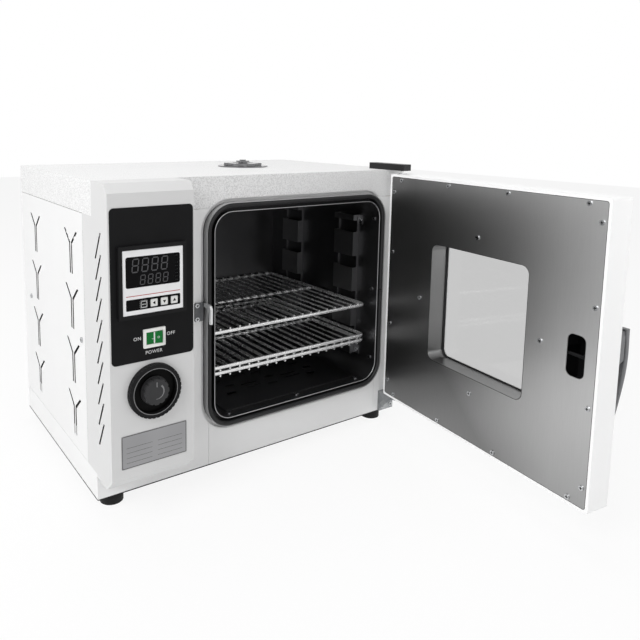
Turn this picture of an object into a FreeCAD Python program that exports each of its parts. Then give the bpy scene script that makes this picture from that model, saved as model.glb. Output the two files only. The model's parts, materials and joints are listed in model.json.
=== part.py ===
import FreeCAD, Part
import math
import os

# Bench-top hot-air drying and sterilising oven with a side-hinged glazed door.
# Millimetres. +Z is up and the door's side faces -Y. The origin lies on the bench,
# midway between the cabinet's sides and midway between its front and back planes.

# Cabinet
body_w = 574.0
body_d = 370.0
body_h = 451.0
foot_h = 20.0
sheet_t = 1.2
pan_h = 40.6
skirt_h = 47.0
panel_seam = 37.0
hem_w = 12.0
seam_gap = 0.6

# Room kept around the heated chamber
bay_w = 184.0
right_wall = 56.0
floor_rise = 73.0
top_wall = 54.0
back_wall = 48.0
partition_in = 34.0

# Chamber liner and the mouth that frames it
liner_t = 1.0
liner_r = 30.0
collar_out = 7.0
collar_screw_back = 6.0
mouth_off = 20.0
mouth_flange = 12.0
mouth_depth = 7.2
break_off = 13.0
break_front = 3.0
break_depth = 9.0
seal_w = 7.0
seal_in = 6.0
seal_front = 9.6
seal_round_share = 0.46
seal_notch = 1.6
rail_in = 13.0

# Control box in front of the left bay
fascia_w = 121.8
fascia_out = 58.2
fascia_top_out = 47.4
fascia_top_drop = 12.2
fascia_low = 36.5
fascia_low_out = 38.8
fascia_low_rise = 17.7

# Slanted louvres in the control box's side
louvre_n = 10
louvre_w = 4.6
louvre_pitch = 28.84
louvre_top = 386.0
louvre_front = 34.3
louvre_run = 19.8
louvre_drop = 36.7

# Branched vent slots in the left side panel
branch_n = 4
branch_top = 373.0
branch_pitch = 83.0
branch_h = 64.0
branch_fork = 20.0
branch_spread = 30.0
branch_neck = 6.5
branch_w = 4.6
branch_top_w = 6.9
branch_front = 92.0
branch_rear = 282.0

# Feet
foot_r = 17.0
foot_top_r = 14.0
foot_straight = 8.0
foot_side = 30.0
foot_front = 27.0
stud_r = 2.5
stud_sink = 12.0
stud_rise = 1.5
stud_nut_r = 4.6
stud_nut_t = 4.0
stud_nut_sides = 6

# Sheet-metal screws
screw_r = 2.0
screw_head_r = 4.0
screw_head_h = 2.0
screw_len = 8.0
small_head_r = 3.4
small_head_h = 1.5
small_screw_r = 1.4
small_screw_len = 6.0
fit_gap = 0.1
run_gap = 0.3
shaft_gap = 0.05
same_place = 0.05
overrun = 5.0
side_screw_low = 223.0
side_screw_back = 48.0
side_screw_front = 51.0
side_screw_front_low = 220.0

# Heater well below the chamber floor
well_side = 44.0
well_front = 26.0
well_back = 14.0
well_depth = 28.0
floor_lap = 12.0
floor_t = 1.0
floor_rows = 8
floor_row_pitch = 28.0
floor_cols = 3
floor_col_pitch = 85.0
oval_l = 20.0
oval_w = 8.0
oval_swing = 6.0
slit_l = 54.0
slit_w = 4.0
slit_gap = 14.0

# Tubular heaters
heater_n = 2
heater_r = 4.0
heater_half = 22.0
heater_bend = 18.0
heater_drop = 15.0
heater_end_in = 14.0
heater_side = 14.0
saddle_w = 12.0
saddle_n = 2
terminal_r = 2.0
terminal_l = 9.0
bush_r = 7.0
bush_l = 6.0

# Fan
fan_back = 156.0
fan_up = 162.0
fan_case_r = 66.0
fan_case_depth = 24.0
fan_hole_r = 54.0
impeller_r = 48.0
impeller_w = 14.0
impeller_disc = 1.5
impeller_gap = 4.0
blade_n = 10
blade_t = 1.5
blade_root = 22.0
hub_r = 9.0
fan_shaft_r = 4.0
fan_shaft_hole = 8.0
motor_r = 40.0
motor_l = 62.0
motor_cap_r = 34.0
motor_cap_l = 8.0
motor_flange = 92.0
motor_flange_t = 3.0
motor_gap = 14.0
motor_post_r = 4.0
motor_post_in = 9.0
shaft_seat = 30.0
cover_w = 112.0
cover_h = 150.0
cover_t = 1.0
cover_hole_r = 4.0
cover_ring_r = 14.0
cover_rings = 3
cover_first = 6
cover_corner = 6.0
cover_screw_in = 7.0

# Temperature sensor
probe_r = 3.0
probe_reach = 48.0
probe_back = 292.0
probe_up = 300.0
probe_nut_r = 7.0
probe_nut_t = 4.0

# Slotted uprights that carry the shelves
upright_w = 53.0
upright_front = 46.0
upright_rear = 214.0
upright_out = 13.0
upright_t = 1.2
upright_end = 1.0
upright_ear = 11.0
upright_ear_h = 16.0
window_h = 22.0
window_root = 3.0
window_r = 3.0
window_first = 61.5
window_pitch = 66.5

# Wire shelves
shelf_gap = 4.0
shelf_front = 14.0
shelf_back = 4.0
shelf_rod_r = 3.0
shelf_wire_r = 1.5
shelf_weld = 0.1
shelf_wire_pitch = 18.0
shelf_bend = 9.0
shelf_low_window = 0
shelf_high_window = 1

# Exhaust on the roof
vent_back = 185.0
vent_x_in = 168.0
vent_tube_r = 22.0
vent_tube_t = 1.5
vent_base_r = 46.0
vent_base_t = 2.0
vent_ports = 3
vent_port_in = 8.0
vent_port_out = 19.0
vent_port_angle = 56.0
vent_shutter_r = 35.0
vent_shutter_t = 4.5
vent_lobes = 6
vent_lobe_r = 5.0
vent_knob_r = 12.5
vent_knob_h = 4.0
vent_pin_r = 3.0

# Door
door_left = 44.0
door_right = 39.0
door_low = 42.7
door_high = 5.9
door_gap = 10.0
door_t = 38.4
door_r = 3.0
door_rim = 4.5
door_flange = 14.0
door_step = 1.2
door_open = 83.0
axis_in = 7.5
axis_deep = 19.5
pane_w = 192.0
pane_r = 12.0
pane_t = 4.0
pane_lap = 7.0
reveal_t = 1.0
reveal_flange = 9.0
cushion_t = 1.2
liner_screw_share_u = (0.062, 0.338, 0.627, 0.938)
liner_screw_share_h = (0.067, 0.335, 0.665, 0.934)
liner_screw_in = 4.5
liner_screw_side = 6.5
pane_screw_out = 25.0

# Hinges
pin_r = 4.0
pin_reach = 14.0
bush_wall = 2.0
bush_deep = 16.0
bush_rim = 1.2
bush_rim_t = 1.0
finger_room = 1.0
arm_w = 17.0
arm_t = 6.0
arm_front = 38.0
arm_back = 45.0
arm_head_t = 2.0
arm_screw_shares = (0.25, 0.75)
cap_t = 1.4
cap_h = 11.0
bracket_w = 35.0
bracket_side = 2.0
bracket_low = 1.0
bracket_t = 4.0
bracket_rise = 39.0
bracket_out = 43.0
bracket_gusset = 3.0
bracket_screw_x = 8.0
bracket_screw_z = 8.0

# Striker on the left stile
striker_up = 249.0
striker_plate_w = 14.0
striker_plate_h = 28.0
striker_plate_t = 3.0
hook_t = 4.0
hook_gap = 0.5
hook_out = 24.5
hook_top = 262.0
hook_tip = 234.0
hook_arm_h = 5.5
hook_leg_w = 7.2
hook_tip_w = 4.0
hook_outer_r = 7.0
hook_inner_r = 5.0

# Latch in the door
slot_w = 26.0
slot_h = 55.5
slot_r = 8.0
slot_in = 33.0
slot_up = 240.5
latch_w = 38.0
latch_h = 76.0
latch_wall = 1.2
latch_deep = 32.0
pawl_r = 2.5
pawl_in = 14.0
pawl_up = 241.0
pawl_plate_t = 3.0
pawl_arm_t = 3.0
pawl_arm_h = 12.0
pawl_travel = 11.5

# Handle
handle_in = 18.0
handle_base_w = 30.0
handle_base_low = 230.5
handle_base_h = 44.0
handle_base_t = 12.4
handle_base_slope = 6.0
handle_pivot_out = 17.6
handle_pivot_drop = 7.0
ear_r = 5.0
ear_t = 4.6
lug_w = 9.4
pivot_r = 2.0
finger_h = 5.0
finger_w = 6.0
finger_reach = 2.5
lever_top = 275.0
lever_bend = 225.0
lever_tip = 157.5
lever_front = 26.7
lever_depth = 6.7
lever_w = 24.0
lever_wall = 2.0
lever_tip_w = 16.0
lever_tip_front = 15.6
lever_tip_depth = 3.0
lever_tip_solid = 12.0
lever_steps = 4
lever_curve = 1.3
lever_round_share = 0.3

# Front controls, placed from the cabinet's left side and its base
overlay_t = 0.6
overlay_in = 2.2
overlay_w = 118.0
overlay_low = 214.0
overlay_h = 206.3
overlay_r = 6.0
meter_in = 11.2
meter_w = 96.0
meter_low = 275.0
meter_h = 96.0
meter_out = 6.0
meter_r = 1.6
meter_pocket = 3.0
meter_rim = 5.3
meter_plate_t = 2.5
meter_body_in = 3.0
meter_body_d = 74.0
screen_low = 316.0
screen_h = 41.0
screen_w = 77.0
screen_r = 3.0
screen_t = 2.0
key_w = 9.0
key_up = 293.2
key_in = 45.0
key_pitch = 14.6
key_n = 4
key_out = 0.8
key_travel = 0.6
switch_in = 61.5
switch_up = 244.2
switch_w = 31.4
switch_h = 25.8
switch_out = 2.2
switch_open_w = 23.9
switch_open_h = 17.0
switch_body_d = 24.0
switch_wall = 1.5
rocker_w = 21.8
rocker_h = 16.2
rocker_t = 8.0
rocker_dip = 1.2
rocker_tilt = 8.0
rocker_pin_r = 1.0
rocker_pin_out = 1.4
dial_in = 60.3
dial_up = 171.0
dial_r = 37.5
dial_rim_r = 31.0
dial_t = 8.0
dial_floor = 1.2
dial_rib_n = 36
dial_rib_r = 1.6
dial_rib_sink = 0.8
dial_neck_r = 5.0
knob_r = 18.0
knob_h = 9.5
knob_skirt_r = 19.5
knob_skirt_h = 1.5
knob_flutes = 12
knob_flute_r = 2.6
spindle_r = 3.0
spindle_l = 12.0
control_body_r = 15.0
control_body_l = 18.0

# Electrical parts inside the left bay and on the back
gland_r = 11.0
gland_bore_r = 4.5
gland_nut_t = 6.0
gland_out = 16.0
gland_in = 12.0
gland_side = 60.0
gland_up = 66.0
block_w = 30.0
block_l = 74.0
block_h = 20.0
block_side = 44.0
block_back = 90.0
block_ways = 6
block_hole_r = 2.5
relay_w = 46.0
relay_h = 58.0
relay_t = 24.0
relay_up = 90.0
relay_back = 270.0
slot_row_n = 6
slot_row_pitch = 12.0
slot_row_l = 60.0
slot_row_w = 4.0
slot_row_up = 300.0

# Places worked out from the sizes above
x_l = -body_w / 2
x_r = body_w / 2
y_f = -body_d / 2
y_b = body_d / 2
z_b = foot_h
z_t = foot_h + body_h
pan_top = z_b + pan_h
skirt_z = z_t - skirt_h
cham_x0 = x_l + bay_w
cham_x1 = x_r - right_wall
cham_x = (cham_x0 + cham_x1) / 2
cham_z0 = z_b + floor_rise
cham_z1 = z_t - top_wall
cham_y1 = y_b - back_wall
mouth = (cham_x0, cham_x1, cham_z0, cham_z1)
wall_x = cham_x0 - partition_in
fascia_x = x_l + fascia_w
face_y = y_f - fascia_out
box_y0 = y_f + break_front + break_depth
fan_y = y_f + fan_back
fan_z = cham_z0 + fan_up
well = (cham_x0 + well_side, cham_x1 - well_side, y_f + well_front, cham_y1 - well_back)
well_z = cham_z0 - liner_t - well_depth
heater_z = cham_z0 - heater_drop
door_x0 = cham_x0 - door_left
door_x1 = cham_x1 + door_right
door_z0 = z_b + door_low
door_z1 = z_t - door_high
door_in = y_f - door_gap
door_out = door_in - door_t
axis_x = door_x1 - axis_in
axis_y = door_in - axis_deep
latch_x = door_x0 + slot_in
latch_z = z_b + slot_up
hook_x1 = cham_x0 - seal_in - seal_w - hook_gap
hook_x0 = hook_x1 - hook_t
handle_x = door_x0 + handle_in
pivot_y = door_out - handle_pivot_out
pivot_z = z_b + handle_base_low + handle_base_h - handle_pivot_drop
vent_x = cham_x0 + vent_x_in
vent_y = y_f + vent_back
vent_z = z_t + vent_base_t


# Drawing helpers

def place(axis, a, b, c):
    """Point with c along the named axis and a, b along the other two in order."""
    if axis == "x":
        return FreeCAD.Vector(c, a, b)
    if axis == "y":
        return FreeCAD.Vector(a, c, b)
    return FreeCAD.Vector(a, b, c)


def box(x0, x1, y0, y1, z0, z1):
    return Part.makeBox(x1 - x0, y1 - y0, z1 - z0, FreeCAD.Vector(x0, y0, z0))


def outline(axis, c, rect, r):
    """Rectangle a0, a1, b0, b1 with corners of radius r, as a closed wire."""
    a0, a1, b0, b1 = rect
    if r == 0:
        corners = [(a0, b0), (a1, b0), (a1, b1), (a0, b1), (a0, b0)]
        return Part.makePolygon([place(axis, a, b, c) for a, b in corners])
    edges = []
    half = r * math.sqrt(0.5)
    centres = [(a1 - r, b0 + r, 1, -1), (a1 - r, b1 - r, 1, 1)]
    centres += [(a0 + r, b1 - r, -1, 1), (a0 + r, b0 + r, -1, -1)]
    arcs = []
    for i, (a, b, sa, sb) in enumerate(centres):
        side = (a + sa * r, b)
        end = (a, b + sb * r)
        middle = (a + sa * half, b + sb * half)
        arcs.append((side, middle, end) if i % 2 else (end, middle, side))
    for i, arc in enumerate(arcs):
        edges.append(Part.Arc(*[place(axis, *point, c) for point in arc]).toShape())
        end = arc[-1]
        follow = arcs[(i + 1) % len(arcs)][0]
        if math.dist(end, follow) > same_place:
            edges.append(Part.makeLine(place(axis, *end, c), place(axis, *follow, c)))
    return Part.Wire(edges)


def prism(axis, c0, c1, rect, r=0):
    face = Part.Face(outline(axis, c0, rect, r))
    return face.extrude(place(axis, 0, 0, c1 - c0))


def slab(axis, c0, c1, points):
    """Straight-sided outline of a, b points drawn out from c0 to c1."""
    corners = [place(axis, a, b, c0) for a, b in points]
    face = Part.Face(Part.makePolygon(corners + corners[:1]))
    return face.extrude(place(axis, 0, 0, c1 - c0))


def disc(axis, c0, c1, a, b, r):
    return Part.makeCylinder(r, abs(c1 - c0), place(axis, a, b, min(c0, c1)), place(axis, 0, 0, 1))


def grow(rect, d):
    return (rect[0] - d, rect[1] + d, rect[2] - d, rect[3] + d)


def about(a, b, w, h):
    return (a - w / 2, a + w / 2, b - h / 2, b + h / 2)


def join(shapes):
    return shapes[0].multiFuse(shapes[1:])


def fuse(shapes):
    return join(shapes).removeSplitter()


def group(shapes):
    return Part.makeCompound(shapes)


def frame_ring(axis, c0, c1, rect, outer, inner, r):
    """Ring between two offsets of a rounded rectangle."""
    whole = prism(axis, c0, c1, grow(rect, outer), r + outer)
    lo, hi = min(c0, c1) - overrun, max(c0, c1) + overrun
    return whole.cut(prism(axis, lo, hi, grow(rect, inner), r + inner))


def swing(shape):
    """Turns a piece drawn on the closed door to the open rest pose."""
    return shape.rotate(FreeCAD.Vector(axis_x, axis_y, 0), FreeCAD.Vector(0, 0, 1), door_open)


def screw(axis, seat, out, a, b, head_r, head_h, shank_r, length):
    """Pan-head screw. The head stands on seat towards out, which is 1 or -1."""
    head = disc(axis, seat, seat + out * head_h, a, b, head_r)
    return head.fuse(disc(axis, seat, seat - out * length, a, b, shank_r)).removeSplitter()


def sheet_screw(axis, seat, out, a, b):
    return screw(axis, seat, out, a, b, screw_head_r, screw_head_h, screw_r, screw_len)


def small_screw(axis, seat, out, a, b):
    return screw(axis, seat, out, a, b, small_head_r, small_head_h, small_screw_r, small_screw_len)


def hole(axis, seat, a, b, r, reach):
    return disc(axis, seat - reach, seat + reach, a, b, r)


def mirror_x(shape, at):
    return shape.mirror(FreeCAD.Vector(at, 0, 0), FreeCAD.Vector(1, 0, 0))


def bent_rod(points, bend, r):
    """Round rod along a polyline with rounded corners."""
    edges = []
    start = points[0]
    for i in range(1, len(points) - 1):
        here = points[i]
        back = (points[i - 1] - here).normalize()
        ahead = (points[i + 1] - here).normalize()
        enter = here + back * bend
        leave = here + ahead * bend
        centre = here + (back + ahead) * bend
        inward = (here - centre).normalize() * bend
        edges.append(Part.makeLine(start, enter))
        edges.append(Part.Arc(enter, centre + inward, leave).toShape())
        start = leave
    edges.append(Part.makeLine(start, points[-1]))
    path = Part.Wire(edges)
    first = points[1] - points[0]
    ring = Part.Wire(Part.makeCircle(r, points[0], first))
    return path.makePipeShell([ring], True, True)


# Cabinet shell

def mouth_cut():
    return prism("y", y_f - overrun, y_f + overrun, grow(mouth, mouth_off), liner_r + mouth_off)


def side_screw_places():
    back = (y_b - side_screw_back, z_b + side_screw_low)
    front = (y_f + side_screw_front, z_b + side_screw_front_low)
    return [back, front]


def foot_places():
    xs = (x_l + foot_side, x_r - foot_side)
    ys = (y_f + foot_front, y_b - foot_front)
    return [(x, y) for x in xs for y in ys]


def base_pan():
    pan = box(x_l, x_r, y_f, y_b, z_b, pan_top)
    y0 = y_f + 2 * sheet_t
    y1 = y_b - sheet_t
    high = pan_top + overrun
    pan = pan.cut(box(x_l + sheet_t, x_r - sheet_t, y0, y1, z_b + sheet_t, high))
    pan = pan.cut(box(fascia_x, x_r + overrun, y_f - overrun, y_f + sheet_t, z_b - overrun, high))
    for x, y in foot_places():
        pan = pan.cut(hole("z", z_b, x, y, stud_r + fit_gap, overrun))
    for x, z in bracket_screw_places():
        pan = pan.cut(hole("y", y_f, x, z, screw_r + fit_gap, overrun))
    return pan


def bracket_screw_places():
    x0 = x_r - bracket_side - bracket_w
    x1 = x_r - bracket_side
    z0 = z_b + bracket_low + bracket_screw_z
    z1 = z_b + bracket_rise - bracket_t - bracket_screw_z
    return [(x, z) for x in (x0 + bracket_screw_x, x1 - bracket_screw_x) for z in (z0, z1)]


def side_panel(x0, y0, inward):
    """Flat side sheet with a hem at its front edge. inward is 1 or -1."""
    x1 = x0 + inward * sheet_t
    hem = x0 + inward * hem_w
    z0 = pan_top + seam_gap
    z1 = skirt_z - seam_gap
    sheet = box(min(x0, x1), max(x0, x1), y0, y_b, z0, z1)
    fold = box(min(x0, hem), max(x0, hem), y0, y0 + sheet_t, z0, z1)
    panel = fuse([sheet, fold])
    for y, z in side_screw_places():
        panel = panel.cut(hole("x", x0, y, z, screw_r + fit_gap, overrun))
    return panel


def branch_cut(y, top, side):
    """One slanted slit that turns straight down beside its neighbour."""
    low = top - branch_h
    bend = top - branch_fork
    far = y + side * branch_spread
    near = y + side * branch_neck
    inner = near - side * branch_w
    points = [(far, top), (near, bend), (near, low), (inner, low)]
    points += [(inner, bend + branch_w / 2), (far - side * branch_top_w, top)]
    return slab("x", x_l - overrun, x_l + overrun, points)


def left_side_panel():
    panel = side_panel(x_l, y_f + panel_seam + seam_gap, 1)
    cuts = []
    for y in (y_f + branch_front, y_f + branch_rear):
        for i in range(branch_n):
            top = z_b + branch_top - i * branch_pitch
            cuts += [branch_cut(y, top, side) for side in (-1, 1)]
    return panel.cut(group(cuts))


def right_side_panel():
    return side_panel(x_r, y_f + 2 * sheet_t, -1)


def back_panel():
    y0 = y_b - sheet_t
    panel = box(x_l + sheet_t, x_r - sheet_t, y0, y_b, pan_top + seam_gap, skirt_z - seam_gap)
    cuts = [hole("y", y_b, x_l + gland_side, z_b + gland_up, gland_bore_r + sheet_t + fit_gap, overrun)]
    for i in range(slot_row_n):
        z = z_b + slot_row_up + i * slot_row_pitch
        rect = about((x_l + wall_x) / 2, z, slot_row_l, slot_row_w)
        cuts.append(prism("y", y_b - overrun, y_b + overrun, rect, slot_row_w / 2))
    for x, z in back_screw_places():
        cuts.append(hole("y", y_b, x, z, screw_r + fit_gap, overrun))
    return panel.cut(group(cuts))


def back_screw_places():
    return [(s * (body_w / 2 - hem_w), z) for s in (-1, 1) for z in (pan_top + hem_w, skirt_z - hem_w)]


def top_cover():
    cover = box(x_l, x_r, y_f, y_b, skirt_z, z_t)
    x0 = x_l + sheet_t
    low = skirt_z - overrun
    high = z_t - sheet_t
    inside = box(x0, x_r - sheet_t, y_f + sheet_t, y_b - sheet_t, low, high)
    bay = box(x0, fascia_x, y_f - overrun, y_f + 2 * sheet_t, low, high)
    cover = cover.cut(inside).cut(bay).cut(mouth_cut())
    cover = cover.cut(hole("z", z_t, vent_x, vent_y, vent_tube_r + fit_gap, overrun))
    return cover.cut(group(arm_screw_holes()))


def fascia_side(inset):
    """Side outline of the control box, drawn inside its skin by inset."""
    top = z_t - inset
    low = z_b + fascia_low + inset
    front = face_y + inset
    slant = inset / 2
    return [
        (y_f, top),
        (y_f - fascia_top_out + slant, top),
        (front, z_t - fascia_top_drop - slant),
        (front, low + fascia_low_rise - inset + slant),
        (y_f - fascia_low_out + slant, low),
        (y_f, low),
    ]


def fascia():
    skin = slab("x", x_l, fascia_x, fascia_side(0))
    room = slab("x", x_l + sheet_t, fascia_x - sheet_t, fascia_side(sheet_t))
    open_back = box(x_l + sheet_t, fascia_x - sheet_t, y_f - sheet_t, y_f + overrun,
                    z_b + fascia_low + sheet_t, z_t - sheet_t)
    skin = skin.cut(room).cut(open_back)
    wing = box(x_l, x_l + sheet_t, y_f, y_f + panel_seam, pan_top, skirt_z)
    skin = fuse([skin, wing])
    cuts = []
    for i in range(louvre_n):
        top = z_b + louvre_top - i * louvre_pitch
        y0 = y_f - louvre_front
        ends = [(y0, top), (y0 + louvre_w, top), (y0 + louvre_w + louvre_run, top - louvre_drop)]
        ends.append((y0 + louvre_run, top - louvre_drop))
        cuts.append(slab("x", x_l - overrun, x_l + overrun, ends))
    y0, y1 = face_y - overrun, face_y + overrun
    cuts.append(prism("y", y0, y1, grow(meter_rect(), fit_gap - meter_body_in)))
    cuts.append(prism("y", y0, y1, grow(switch_body_rect(), fit_gap)))
    cuts.append(hole("y", face_y, x_l + dial_in, z_b + dial_up, dial_neck_r + fit_gap, overrun))
    return skin.cut(group(cuts))


def front_sheet(x0, x1, high):
    return box(x0, x1, y_f, y_f + sheet_t, z_b, high).cut(mouth_cut())


def left_stile():
    sheet = front_sheet(fascia_x, cham_x0 - mouth_off + rail_in, skirt_z - seam_gap)
    return sheet.cut(group(striker_screw_holes()))


def bottom_rail():
    x0 = cham_x0 - mouth_off + rail_in + seam_gap
    x1 = cham_x1 + mouth_off - rail_in - seam_gap
    return front_sheet(x0, x1, cham_z0 + liner_r)


def right_stile():
    sheet = front_sheet(cham_x1 + mouth_off - rail_in, x_r, skirt_z - seam_gap)
    for x, z in bracket_screw_places():
        sheet = sheet.cut(hole("y", y_f, x, z, screw_r + fit_gap, overrun))
    return sheet


def mouth_frame():
    """Folded steel frame that ties the front sheets round the mouth."""
    y0 = y_f + sheet_t
    y1 = y_f + mouth_depth
    reach = mouth_off + mouth_flange
    flange = frame_ring("y", y0, y0 + sheet_t, mouth, reach, mouth_off, liner_r)
    wall = frame_ring("y", y0, y1, mouth, mouth_off, mouth_off - sheet_t, liner_r)
    floor = frame_ring("y", y1 - sheet_t, y1, mouth, mouth_off, break_off, liner_r)
    return fuse([flange, wall, floor]).cut(group(striker_screw_holes()))


def thermal_break():
    y0 = y_f + break_front
    ring = frame_ring("y", y0, y0 + break_depth, mouth, break_off, liner_t, liner_r)
    return ring.cut(group(collar_screw_holes(small_screw_len + fit_gap)))


def door_seal():
    y0 = y_f - seal_front
    outer = seal_in + seal_w
    ring = frame_ring("y", y0, y_f + break_front, mouth, outer, seal_in, liner_r)
    edges = [e for e in ring.Edges if all(abs(v.Point.y - y0) < same_place for v in e.Vertexes)]
    ring = ring.makeFillet(seal_w * seal_round_share, edges)
    z = (cham_z0 + cham_z1) / 2
    notch = box(cham_x1, cham_x1 + outer + overrun, y0 - overrun, y0 + seal_in, z, z + seal_notch)
    return ring.cut(notch)


# Chamber

def liner_wrap():
    """The four chamber walls in one bent sheet whose front edge stands out of the mouth."""
    wrap = frame_ring("y", y_f - collar_out, cham_y1, mouth, liner_t, 0, liner_r)
    x0, x1, y0, y1 = grow(well, -liner_t)
    cuts = [box(x0, x1, y0, y1, cham_z0 - overrun, cham_z0 + liner_t)]
    cuts.append(hole("x", cham_x0, fan_y, fan_z, fan_hole_r, overrun))
    cuts.append(hole("x", cham_x0, y_f + probe_back, cham_z0 + probe_up, probe_r + fit_gap, overrun))
    cuts.append(hole("z", cham_z1, vent_x, vent_y, vent_tube_r + fit_gap, overrun))
    for x, y, z in wall_screw_places():
        cuts.append(hole("x", x, y, z, small_screw_r + fit_gap, overrun))
    for y, z in cover_screw_places():
        cuts.append(hole("x", cham_x0, y, z, small_screw_r + fit_gap, overrun))
    return wrap.cut(group(cuts + collar_screw_holes(overrun)))


def liner_back():
    return prism("y", cham_y1, cham_y1 + liner_t, grow(mouth, liner_t), liner_r + liner_t)


def chamber_liner():
    return group([liner_wrap(), liner_back()])


def collar_screw_places():
    """Screws that hold the wrap to the thermal break: axis, side, x and z."""
    x0, x1, z0, z1 = grow(mouth, -liner_r - small_head_r)
    places = []
    for z, side in ((cham_z0, 1), (cham_z1, -1)):
        places += [("z", side, x, z) for x in (x0, (x0 + x1) / 2, x1)]
    for x, side in ((cham_x0, 1), (cham_x1, -1)):
        places += [("x", side, x, z) for z in (z0, (z0 + z1) / 2, z1)]
    return places


def collar_screw_holes(reach):
    y = y_f + collar_screw_back
    holes = []
    for axis, _, x, z in collar_screw_places():
        if axis == "z":
            holes.append(hole("z", z, x, y, small_screw_r + fit_gap, reach))
        else:
            holes.append(hole("x", x, y, z, small_screw_r + fit_gap, reach))
    return holes


def collar_screws():
    y = y_f + collar_screw_back
    screws = []
    for axis, side, x, z in collar_screw_places():
        if axis == "z":
            screws.append(small_screw("z", z, side, x, y))
        else:
            screws.append(small_screw("x", x, side, y, z))
    return screws


def wall_screw_places():
    """Screws that hold the uprights' ears, as wall x, y and z."""
    z0, z1 = upright_span()
    places = []
    for x in (cham_x0, cham_x1):
        for y in (upright_front - upright_ear / 2, upright_rear + upright_w + upright_ear / 2):
            for z in (z0 + upright_ear_h / 2, z1 - upright_ear_h / 2):
                places.append((x, y_f + y, z))
    return places


def heater_well():
    x0, x1, y0, y1 = well
    top = cham_z0 - liner_t
    tray = box(x0, x1, y0, y1, well_z, top)
    in_x0, in_x1, in_y0, in_y1 = grow(well, -liner_t)
    tray = tray.cut(box(in_x0, in_x1, in_y0, in_y1, well_z + liner_t, top + overrun))
    for y in heater_leg_places():
        tray = tray.cut(hole("x", x0, y, heater_z, heater_r + fit_gap, overrun))
    return fuse([tray] + heater_saddles())


def floor_rect():
    return grow(well, floor_lap)


def floor_plate():
    """Perforated plate that lies loose over the heater well."""
    plate = prism("z", cham_z0, cham_z0 + floor_t, floor_rect(), floor_t)
    low, high = cham_z0 - overrun, cham_z0 + overrun
    x_mid = (well[0] + well[1]) / 2
    y_mid = (well[2] + well[3]) / 2
    cuts = []
    for c in range(floor_cols):
        x = x_mid + (c - (floor_cols - 1) / 2) * floor_col_pitch
        for r in range(floor_rows):
            y = y_mid + (r - (floor_rows - 1) / 2) * floor_row_pitch
            swing_x = oval_swing * (1 if r % 2 else -1)
            cuts.append(prism("z", low, high, about(x + swing_x, y, oval_l, oval_w), oval_w / 2))
    for c in range(floor_cols - 1):
        x = x_mid + (c - (floor_cols - 2) / 2) * floor_col_pitch
        for r in range(floor_rows // 2):
            y = y_mid + (2 * r - (floor_rows - 2) / 2) * floor_row_pitch
            for side in (-1, 1):
                rect = about(x, y + side * slit_gap / 2, slit_l - oval_l, slit_w)
                cuts.append(prism("z", low, high, rect, slit_w / 2))
    return plate.cut(group(cuts))


def heater_places():
    span = well[3] - well[2]
    return [well[2] + (i + 0.5) / heater_n * span for i in range(heater_n)]


def heater_leg_places():
    return [y + side * heater_half for y in heater_places() for side in (-1, 1)]


def tubular_heater(y):
    x0 = wall_x - heater_end_in
    x1 = well[1] - heater_side
    path = [(x0, y - heater_half), (x1, y - heater_half), (x1, y + heater_half), (x0, y + heater_half)]
    return bent_rod([FreeCAD.Vector(a, b, heater_z) for a, b in path], heater_bend, heater_r)


def heater_saddles():
    bars = []
    x0, x1, y0, y1 = grow(well, -liner_t)
    for i in range(saddle_n):
        x = x0 + (i + 0.5) / saddle_n * (x1 - x0)
        bars.append(box(x - saddle_w / 2, x + saddle_w / 2, y0, y1, well_z + liner_t, heater_z - heater_r))
    return bars


def heater_terminals():
    x0 = wall_x - heater_end_in
    return [disc("x", x0 - terminal_l, x0, y, heater_z, terminal_r) for y in heater_leg_places()]


def heater_bushes():
    rings = []
    for y in heater_leg_places():
        ring = disc("x", wall_x - bush_l, wall_x, y, heater_z, bush_r)
        rings.append(ring.cut(hole("x", wall_x, y, heater_z, heater_r + shaft_gap, bush_l + overrun)))
    return rings


def tubular_heaters():
    """Two hairpin heaters with the stud at each end and the ceramic bush each leg runs through."""
    return group([tubular_heater(y) for y in heater_places()] + heater_terminals() + heater_bushes())


def insulation_top():
    pad = box(wall_x + sheet_t, x_r - sheet_t, box_y0, y_b - sheet_t, cham_z1 + liner_t, z_t - sheet_t)
    reach = top_wall + overrun
    pad = pad.cut(hole("z", cham_z1, vent_x, vent_y, vent_tube_r + fit_gap, reach))
    return pad.cut(group(arm_screw_holes()))


def insulation_bottom():
    top = cham_z0 - liner_t
    pad = box(wall_x + sheet_t, x_r - sheet_t, box_y0, y_b - sheet_t, z_b + sheet_t, top)
    pad = pad.cut(box(well[0], well[1], well[2], well[3], well_z, top + overrun))
    for x, y in foot_places():
        pad = pad.cut(hole("z", z_b, x, y, stud_nut_r + fit_gap, stud_top() - z_b + fit_gap))
    for y in heater_leg_places():
        pad = pad.cut(disc("x", wall_x, well[0] + overrun, y, heater_z, heater_r + fit_gap))
    return pad


def insulation_right():
    pad = box(cham_x1 + liner_t, x_r - sheet_t, box_y0, y_b - sheet_t, cham_z0 - liner_t, cham_z1 + liner_t)
    return pad.cut(group(wall_screw_pockets(cham_x1)))


def wall_screw_pockets(wall):
    """Room in the padding for the screws that pass through one chamber wall."""
    places = [(y, z) for x, y, z in wall_screw_places() if x == wall]
    if wall == cham_x0:
        places += cover_screw_places()
    return [hole("x", wall, y, z, small_screw_r + fit_gap, small_screw_len) for y, z in places]


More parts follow.
